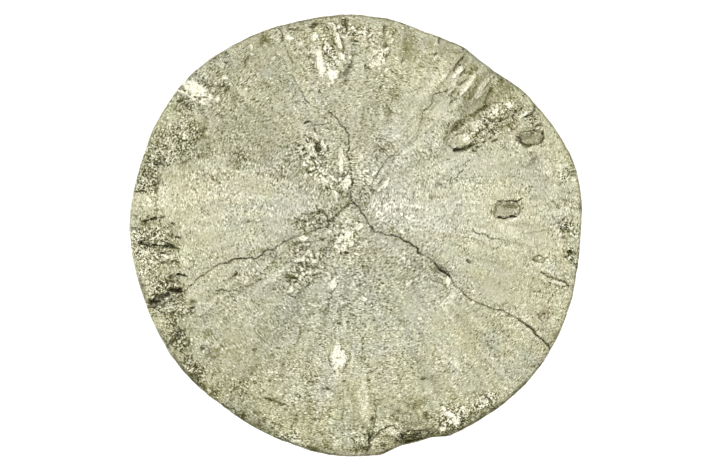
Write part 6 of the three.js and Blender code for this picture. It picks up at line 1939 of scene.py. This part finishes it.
@dataclass(frozen=True)
class PyriteFinish:
    """Pyrite: pale brassy grey metal, broken up into fine crystal faces, with painted sheen, glints and
    sparkle, darkened in its cracks with painted shade and tarnish.

    Sizes are in millimetres. A range holds the values where an effect starts and where it is full. A
    noise is given by its lumps a millimetre and the number of its finer layers.
    """

    grey: Colour = (0.382, 0.383, 0.322, 1.0)
    yellow: Colour = (0.395, 0.389, 0.267, 1.0)
    painted_glint: Colour = (0.9, 0.89, 0.76, 1.0)
    pale: Colour = (0.4, 0.396, 0.345, 1.0)
    olive: Colour = (0.4, 0.388, 0.138, 1.0)
    tarnish_and_shade: Colour = (0.05, 0.046, 0.013, 1.0)
    green_lean: Colour = (0.988, 1.008, 1.006, 1.0)
    tan_lean: Colour = (1.03, 0.984, 0.98, 1.0)
    metallic: float = 0.95
    roughness: float = 0.36
    grain_roughness: float = 0.2
    middle: float = 0.5
    growth: tuple[float, float, float] = (DiscForms.growth_x, DiscForms.growth_y, 0.0)

    usual_light: float = 1.05
    least_light: float = 0.17
    mottle_noise: Pair = (0.4, 3.0)
    mottle_light: float = 0.22
    wave_size: Pair = (0.55, 1.5)
    wave_light: float = 0.4
    glint_size: float = 0.3
    glint_light: float = 0.5
    stroke_size: Pair = (0.17, 0.5)
    stroke_bearings: tuple[float, ...] = (0.0, 45.0, 90.0, 135.0)
    stroke_light: float = 1.7
    stroke_peak: float = 45.0
    least_reach: float = 0.01
    grain_noise: Pair = (3.2, 1.0)
    grain_light: float = 0.8

    face_size: float = 0.24
    face_middle: float = 0.48
    face_light: float = 2.7
    seam_reach: Range = (0.02, 0.13)
    seam_light: float = 0.5
    speck_draw: Range = (0.72, 0.9)
    speck_light: float = 0.5

    tick_size: float = 0.6
    tick_noise: Pair = (0.7, 2.0)
    tick_patch: Range = (0.38, 0.62)
    tick_ragged: float = 0.25
    tick_across: Range = (0.001, 0.01)
    tick_along: Range = (0.04, 0.1)
    tick_shortening: float = 0.4
    bright_tick_draw: Range = (0.72, 0.9)
    bright_tick_light: float = 0.5
    dark_tick_draw: Range = (0.6, 0.9)
    dark_tick_light: float = 0.55

    pale_light: Range = (1.1, 2.2)
    olive_light: Range = (0.15, 1.0)
    olive_most: float = 0.92
    glitter_gain: float = 0.32
    flake_size: float = 0.43
    flake_draw: Range = (1.0, 1.06)
    flake_bright: float = 0.85
    spark_gain: float = 2.6
    spark_range: Range = (0.42, 0.56)
    spark_bright: float = 0.6
    flash_grain: float = 2.4
    flash_glint: float = 0.8
    dark_grain: float = 1.6
    dark_lost: float = 0.9

    face_tilt: float = 0.25
    rough_tilt: float = 0.6
    stroke_height: float = 0.12
    grain_height: float = 0.1

    def make(self) -> bpy.types.Material:
        """Makes the material.

        Returns:
            The material.
        """
        material = bpy.data.materials.new("pyrite_skin")
        material.use_nodes = True
        graph = Graph(material.node_tree)
        place = graph.scaled(graph.node("ShaderNodeTexCoord").outputs["Object"], 1.0 / MM)
        rough_skin = graph.attribute("rough_skin")
        faces = graph.cells(place, self.face_size)
        glint = self._draw(graph, graph.cells(place, self.glint_size)) - self.middle
        strokes = self._strokes(graph, place, self.stroke_size)
        grain = graph.noise(place, *self.grain_noise) - self.middle

        light = self._light(graph, place, glint, strokes, grain)
        light = light + rough_skin * self._rough_light(graph, place, faces)
        light = graph.maths("MAXIMUM", light, self.least_light)
        colour = self._lit_colour(graph, light)
        # Painted sparkle: bright flakes and bright strokes mixed into the colour towards near white.
        glitter = graph.attribute("glitter") * self.glitter_gain
        flake = self._draw(graph, graph.cells(place, self.flake_size))
        sparkle = (flake + glitter).step(*self.flake_draw) * self.flake_bright
        sparkle = sparkle + (strokes * self.spark_gain + glitter).step(*self.spark_range) * self.spark_bright
        # Painted glints on the bright crystals.
        painted_glint = graph.attribute("painted_glint")
        bright = painted_glint * (1.0 + grain * self.flash_grain + glint * self.flash_glint) + sparkle
        colour = graph.mix_colour(bright, colour, self.painted_glint)
        # Painted shade in the cracks, dents and pit walls and along the rim, with tarnish, darkens the
        # colour.
        dark = graph.attribute("dark") * (1.0 + grain * self.dark_grain) * (1.0 - painted_glint * self.dark_lost)
        shader = graph.node(
            "ShaderNodeBsdfPrincipled",
            None,
            {
                "Base Color": graph.mix_colour(dark, colour, self.tarnish_and_shade),
                "Metallic": self.metallic,
                "Roughness": self.roughness + grain * self.grain_roughness,
                "Normal": self._bump(graph, place, faces, strokes, grain, rough_skin),
            },
        )
        graph.node("ShaderNodeOutputMaterial", None, {"Surface": shader.outputs[0]})
        return material

    def _light(
        self, graph: Graph, place: bpy.types.NodeSocket, glint: Signal, strokes: Signal, grain: Signal
    ) -> Signal:
        """Gives how light the skin is where it isn't rough.

        Args:
            graph: the finish's nodes.
            place: the place in millimetres.
            glint: the small spots' lightness.
            strokes: the fine growth ripples.
            grain: the grain.

        Returns:
            Numbers about 1.
        """
        waves = self._strokes(graph, place, self.wave_size)
        mottle = graph.noise(place, *self.mottle_noise) - self.middle
        ticks = self._ticks(graph, place, grain) * graph.noise(place, *self.tick_noise).step(*self.tick_patch)
        # This attribute holds the crystals' own lightness with painted sheen, light and shade.
        light = self.usual_light + graph.attribute("tone_and_painted_light")
        light = light + mottle * self.mottle_light + waves * self.wave_light
        ripples = strokes * (self.stroke_light + strokes * strokes * self.stroke_peak)
        busy = glint * self.glint_light + ripples + grain * self.grain_light + ticks
        return light + graph.attribute("busy") * busy

    def _rough_light(self, graph: Graph, place: bpy.types.NodeSocket, faces: bpy.types.Node) -> Signal:
        """Gives what the rough patches add to the light: painted light and shade on each crystal face,
        painted shade in the seams between faces, and dark specks.

        Args:
            graph: the finish's nodes.
            place: the place in millimetres.
            faces: the node that shares the surface out among the faces.

        Returns:
            Numbers about 0.
        """
        face = self._draw(graph, faces)
        speck = self._draw(graph, faces, 1).step(*self.speck_draw)
        edge = graph.cells(place, self.face_size, feature="DISTANCE_TO_EDGE").outputs["Distance"]
        seam = 1.0 - Signal(graph, edge).step(*self.seam_reach)
        return (face - self.face_middle) * self.face_light - seam * self.seam_light - speck * self.speck_light

    def _lit_colour(self, graph: Graph, light: Signal) -> bpy.types.NodeSocket:
        """Mixes the metal's colour: paler where it is light, olive where it is dark, leaning to green or tan.

        Args:
            graph: the finish's nodes.
            light: how light the skin is.

        Returns:
            The colour's socket.
        """
        colour = graph.mix_colour(graph.attribute("tint"), self.grey, self.yellow)
        colour = graph.mix_colour(light.step(*self.pale_light), colour, self.pale)
        olive = self.olive_most - light.step(*self.olive_light) * self.olive_most
        colour = graph.mix_colour(olive, colour, self.olive)
        lean = graph.mix_colour(graph.attribute("warm"), self.green_lean, self.tan_lean)
        return graph.scaled(graph.vector("MULTIPLY", colour, lean), light)

    def _draw(self, graph: Graph, cells: bpy.types.Node, channel: int = 0) -> Signal:
        """Draws one number for each cell.

        Args:
            graph: the finish's nodes.
            cells: the node that shares the surface out.
            channel: which of the cells' three random numbers is taken.

        Returns:
            Numbers from 0 to 1.
        """
        return graph.parts(cells.outputs["Color"])[channel]

    def _ticks(self, graph: Graph, place: bpy.types.NodeSocket, grain: Signal) -> Signal:
        """Draws short ticks, each across the way that the crystals grew and of a shade of its own.

        Args:
            graph: the finish's nodes.
            place: the place in millimetres.
            grain: the grain, which makes the ticks ragged.

        Returns:
            Numbers below 0 in the dark ticks, above 0 in the bright ones and 0 elsewhere.
        """
        flat = graph.vector("MULTIPLY", place, (1.0, 1.0, 0.0))
        cells = graph.cells(flat, self.tick_size, voronoi_dimensions="2D")
        middle = graph.scaled(cells.outputs["Position"], self.tick_size)
        outward = graph.vector("NORMALIZE", graph.vector("SUBTRACT", middle, self.growth))
        sway = graph.vector("SUBTRACT", cells.outputs["Color"], (self.middle,) * 3)
        aim = graph.vector("NORMALIZE", graph.vector("ADD", outward, sway))
        apart = graph.vector("SUBTRACT", flat, middle)
        reach = graph.dot(apart, apart)
        across = graph.dot(apart, aim) + grain * self.tick_ragged
        draw = self._draw(graph, cells, 1)
        tick = 1.0 - (across * across).step(*self.tick_across)
        tick = tick * (1.0 - (reach * (self.tick_shortening + draw)).step(*self.tick_along))
        bright = draw.step(*self.bright_tick_draw) * self.bright_tick_light
        return tick * (bright - (1.0 - draw).step(*self.dark_tick_draw) * self.dark_tick_light)

    def _strokes(self, graph: Graph, place: bpy.types.NodeSocket, size: Pair) -> Signal:
        """Draws the fine growth ripples: short strokes across the way that the crystals grew.

        Strokes are drawn in four directions, and each place takes the two that fit its bearing best.

        Args:
            graph: the finish's nodes.
            place: the place in millimetres.
            size: the strokes' width and length.

        Returns:
            Numbers about 0.
        """
        across, up, _ = graph.parts(graph.vector("SUBTRACT", place, self.growth))
        reach = across * across + up * up + self.least_reach
        even, odd = (across * across - up * up) / reach, (across * up) * 2.0 / reach
        strokes = 0.0
        for bearing in self.stroke_bearings:
            turn = math.radians(bearing)
            turned = graph.node(
                "ShaderNodeMapping",
                {"vector_type": "TEXTURE"},
                {
                    "Vector": place,
                    "Location": (bearing, 0.0, 0.0),
                    "Rotation": (0.0, 0.0, turn),
                    "Scale": (*size, 1.0),
                },
            )
            share = graph.maths("MAXIMUM", even * math.cos(2.0 * turn) + odd * math.sin(2.0 * turn), 0.0)
            strokes = strokes + share * (graph.noise(turned.outputs[0], 1.0, 1.0) - self.middle)
        return strokes

    def _bump(
        self,
        graph: Graph,
        place: bpy.types.NodeSocket,
        faces: bpy.types.Node,
        strokes: Signal,
        grain: Signal,
        rough_skin: Signal,
    ) -> bpy.types.NodeSocket:
        """Tilts each small crystal face its own way, over the ripples and grain.

        Args:
            graph: the finish's nodes.
            place: the place in millimetres.
            faces: the node that shares the surface out among the faces.
            strokes: the growth ripples.
            grain: the grain.
            rough_skin: how much the crystals stand out.

        Returns:
            The normal's socket.
        """
        tilt = graph.vector("SUBTRACT", faces.outputs["Color"], (self.middle,) * 3)
        middle = graph.scaled(faces.outputs["Position"], self.face_size)
        slope = graph.dot(tilt, graph.vector("SUBTRACT", place, middle))
        height = slope * (self.face_tilt + rough_skin * self.rough_tilt)
        height = height + strokes * self.stroke_height + grain * self.grain_height
        bump = graph.node("ShaderNodeBump", None, {"Strength": 1.0, "Distance": MM, "Height": height})
        return bump.outputs[0]


@dataclass(frozen=True)
class Photograph:
    """Where the disc lies in the photograph, in pixels of its frame."""

    width: int = 708
    height: int = 472
    left: float = 129.5
    right: float = 581.5
    top: float = 15.0
    bottom: float = 456.0

    def pitch(self, disc_width: float) -> float:
        """Gives the size of one pixel on the disc.

        Args:
            disc_width: the disc's width in metres.

        Returns:
            Metres a pixel.
        """
        return disc_width / (self.right - self.left)

    def middle(self) -> Pair:
        """Gives how far right of and above the picture's middle the disc's middle is, in pixels."""
        return (self.left + self.right - self.width) / 2.0, (self.height - self.top - self.bottom) / 2.0


@dataclass(frozen=True)
class Softbox:
    """A square softbox that faces the disc.

    Attributes:
        name: its name.
        tilt: degrees down from overhead.
        bearing: degrees round from +X.
        away: distance from the disc in metres.
        size: its side in metres.
        radiance: how bright its face is.
        colour: the light's colour.
    """

    name: str
    tilt: float
    bearing: float
    away: float
    size: float
    radiance: float
    colour: tuple[float, float, float] = (1.0, 0.99, 0.96)

    def hang(self) -> None:
        """Hangs the softbox."""
        down, turn = math.radians(self.tilt), math.radians(self.bearing)
        place = Vector((math.sin(down) * math.cos(turn), math.sin(down) * math.sin(turn), math.cos(down)))
        place = place * self.away
        bpy.ops.object.light_add(type="AREA", location=place)
        lamp = bpy.context.object
        lamp.name = self.name
        lamp.rotation_euler = (-place).to_track_quat("-Z", "Y").to_euler()
        lamp.data.size = self.size
        lamp.data.energy = self.radiance * self.size * self.size * math.pi
        lamp.data.color = self.colour


@dataclass
class Studio:
    """Floor, sky, softboxes and camera."""

    photograph: Photograph = Photograph()
    softboxes: tuple[Softbox, ...] = (
        Softbox("key", 34.0, 250.0, 0.42, 0.16, 5.0),
        Softbox("fill", 42.0, 60.0, 0.45, 0.2, 2.6),
        Softbox("rim", 62.0, 150.0, 0.45, 0.12, 3.0),
    )
    lens: float = 100.0
    nearest: float = 0.01
    rim_height: float = 2.4 * MM
    floor_size: float = 6.0
    floor_colour: Colour = (0.93, 0.93, 0.93, 1.0)
    floor_roughness: float = 0.9
    floor_glow: Colour = (1.0, 1.0, 1.0, 1.0)
    floor_glow_strength: float = 0.5
    low_sky: Colour = (1.0, 0.97, 0.76, 1.0)
    high_sky: Colour = (1.0, 0.995, 0.98, 1.0)
    sky_colour_rise: Range = (0.3, 0.9)
    horizon_strength: float = 0.55
    overhead_strength: float = 0.75
    sky_strength_rise: Range = (0.1, 0.95)

    def build(self) -> None:
        """Sets up everything around the disc."""
        self._floor()
        self._sky()
        for softbox in self.softboxes:
            softbox.hang()
        self._camera()
        bpy.context.scene.view_settings.view_transform = "Standard"

    def _floor(self) -> None:
        """Lays the pale floor."""
        bpy.ops.object.select_all(action="DESELECT")
        bpy.ops.mesh.primitive_plane_add(size=self.floor_size, location=(0, 0, 0))
        floor = bpy.context.object
        floor.name = "floor"
        material = bpy.data.materials.new("pale_floor")
        material.use_nodes = True
        shader = material.node_tree.nodes["Principled BSDF"]
        shader.inputs["Base Color"].default_value = self.floor_colour
        shader.inputs["Roughness"].default_value = self.floor_roughness
        shader.inputs["Emission Color"].default_value = self.floor_glow
        shader.inputs["Emission Strength"].default_value = self.floor_glow_strength
        floor.data.materials.append(material)

    def _sky(self) -> None:
        """Makes the soft surroundings: bright overhead and dimmer towards the horizon."""
        world = bpy.data.worlds.new("studio")
        bpy.context.scene.world = world
        world.use_nodes = True
        graph = Graph(world.node_tree)
        height = graph.parts(graph.node("ShaderNodeTexCoord").outputs["Generated"])[2]
        strength = self.horizon_strength + height.step(*self.sky_strength_rise) * self.overhead_strength
        colour = graph.mix_colour(height.step(*self.sky_colour_rise), self.low_sky, self.high_sky)
        background = graph.node("ShaderNodeBackground", None, {"Color": colour, "Strength": strength})
        graph.node("ShaderNodeOutputWorld", None, {"Surface": background.outputs[0]})

    def _camera(self) -> None:
        """Places the camera straight above, so that the disc fills the frame as in the photograph."""
        low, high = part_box(DISC_NODE)
        pitch = self.photograph.pitch(high[0] - low[0])
        bpy.ops.object.camera_add(location=(0, 0, 1), rotation=(0, 0, 0))
        camera = bpy.context.object
        camera.name = "camera"
        camera.data.lens = self.lens
        camera.data.clip_start = self.nearest
        distance = pitch * self.photograph.width * self.lens / camera.data.sensor_width
        right, above = self.photograph.middle()
        camera.location = (
            (low[0] + high[0]) / 2.0 - right * pitch,
            (low[1] + high[1]) / 2.0 - above * pitch,
            self.rim_height + distance,
        )
        bpy.context.scene.camera = camera


def main() -> None:
    """Builds the disc and the studio, and reports each piece."""
    logging.basicConfig(level=logging.INFO, format="%(name)s: %(message)s")
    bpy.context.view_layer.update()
    disc = PyriteDisc().build()
    disc.data.materials.append(PyriteFinish().make())
    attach(disc, "root")
    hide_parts(DISC_NODE)
    log.info("%s: %d triangles", disc.name, len(disc.data.polygons))
    studio = Studio()
    studio.build()
    log.info("studio: floor, sky, %d softboxes and camera", len(studio.softboxes))


if __name__ == "__main__":
    main()
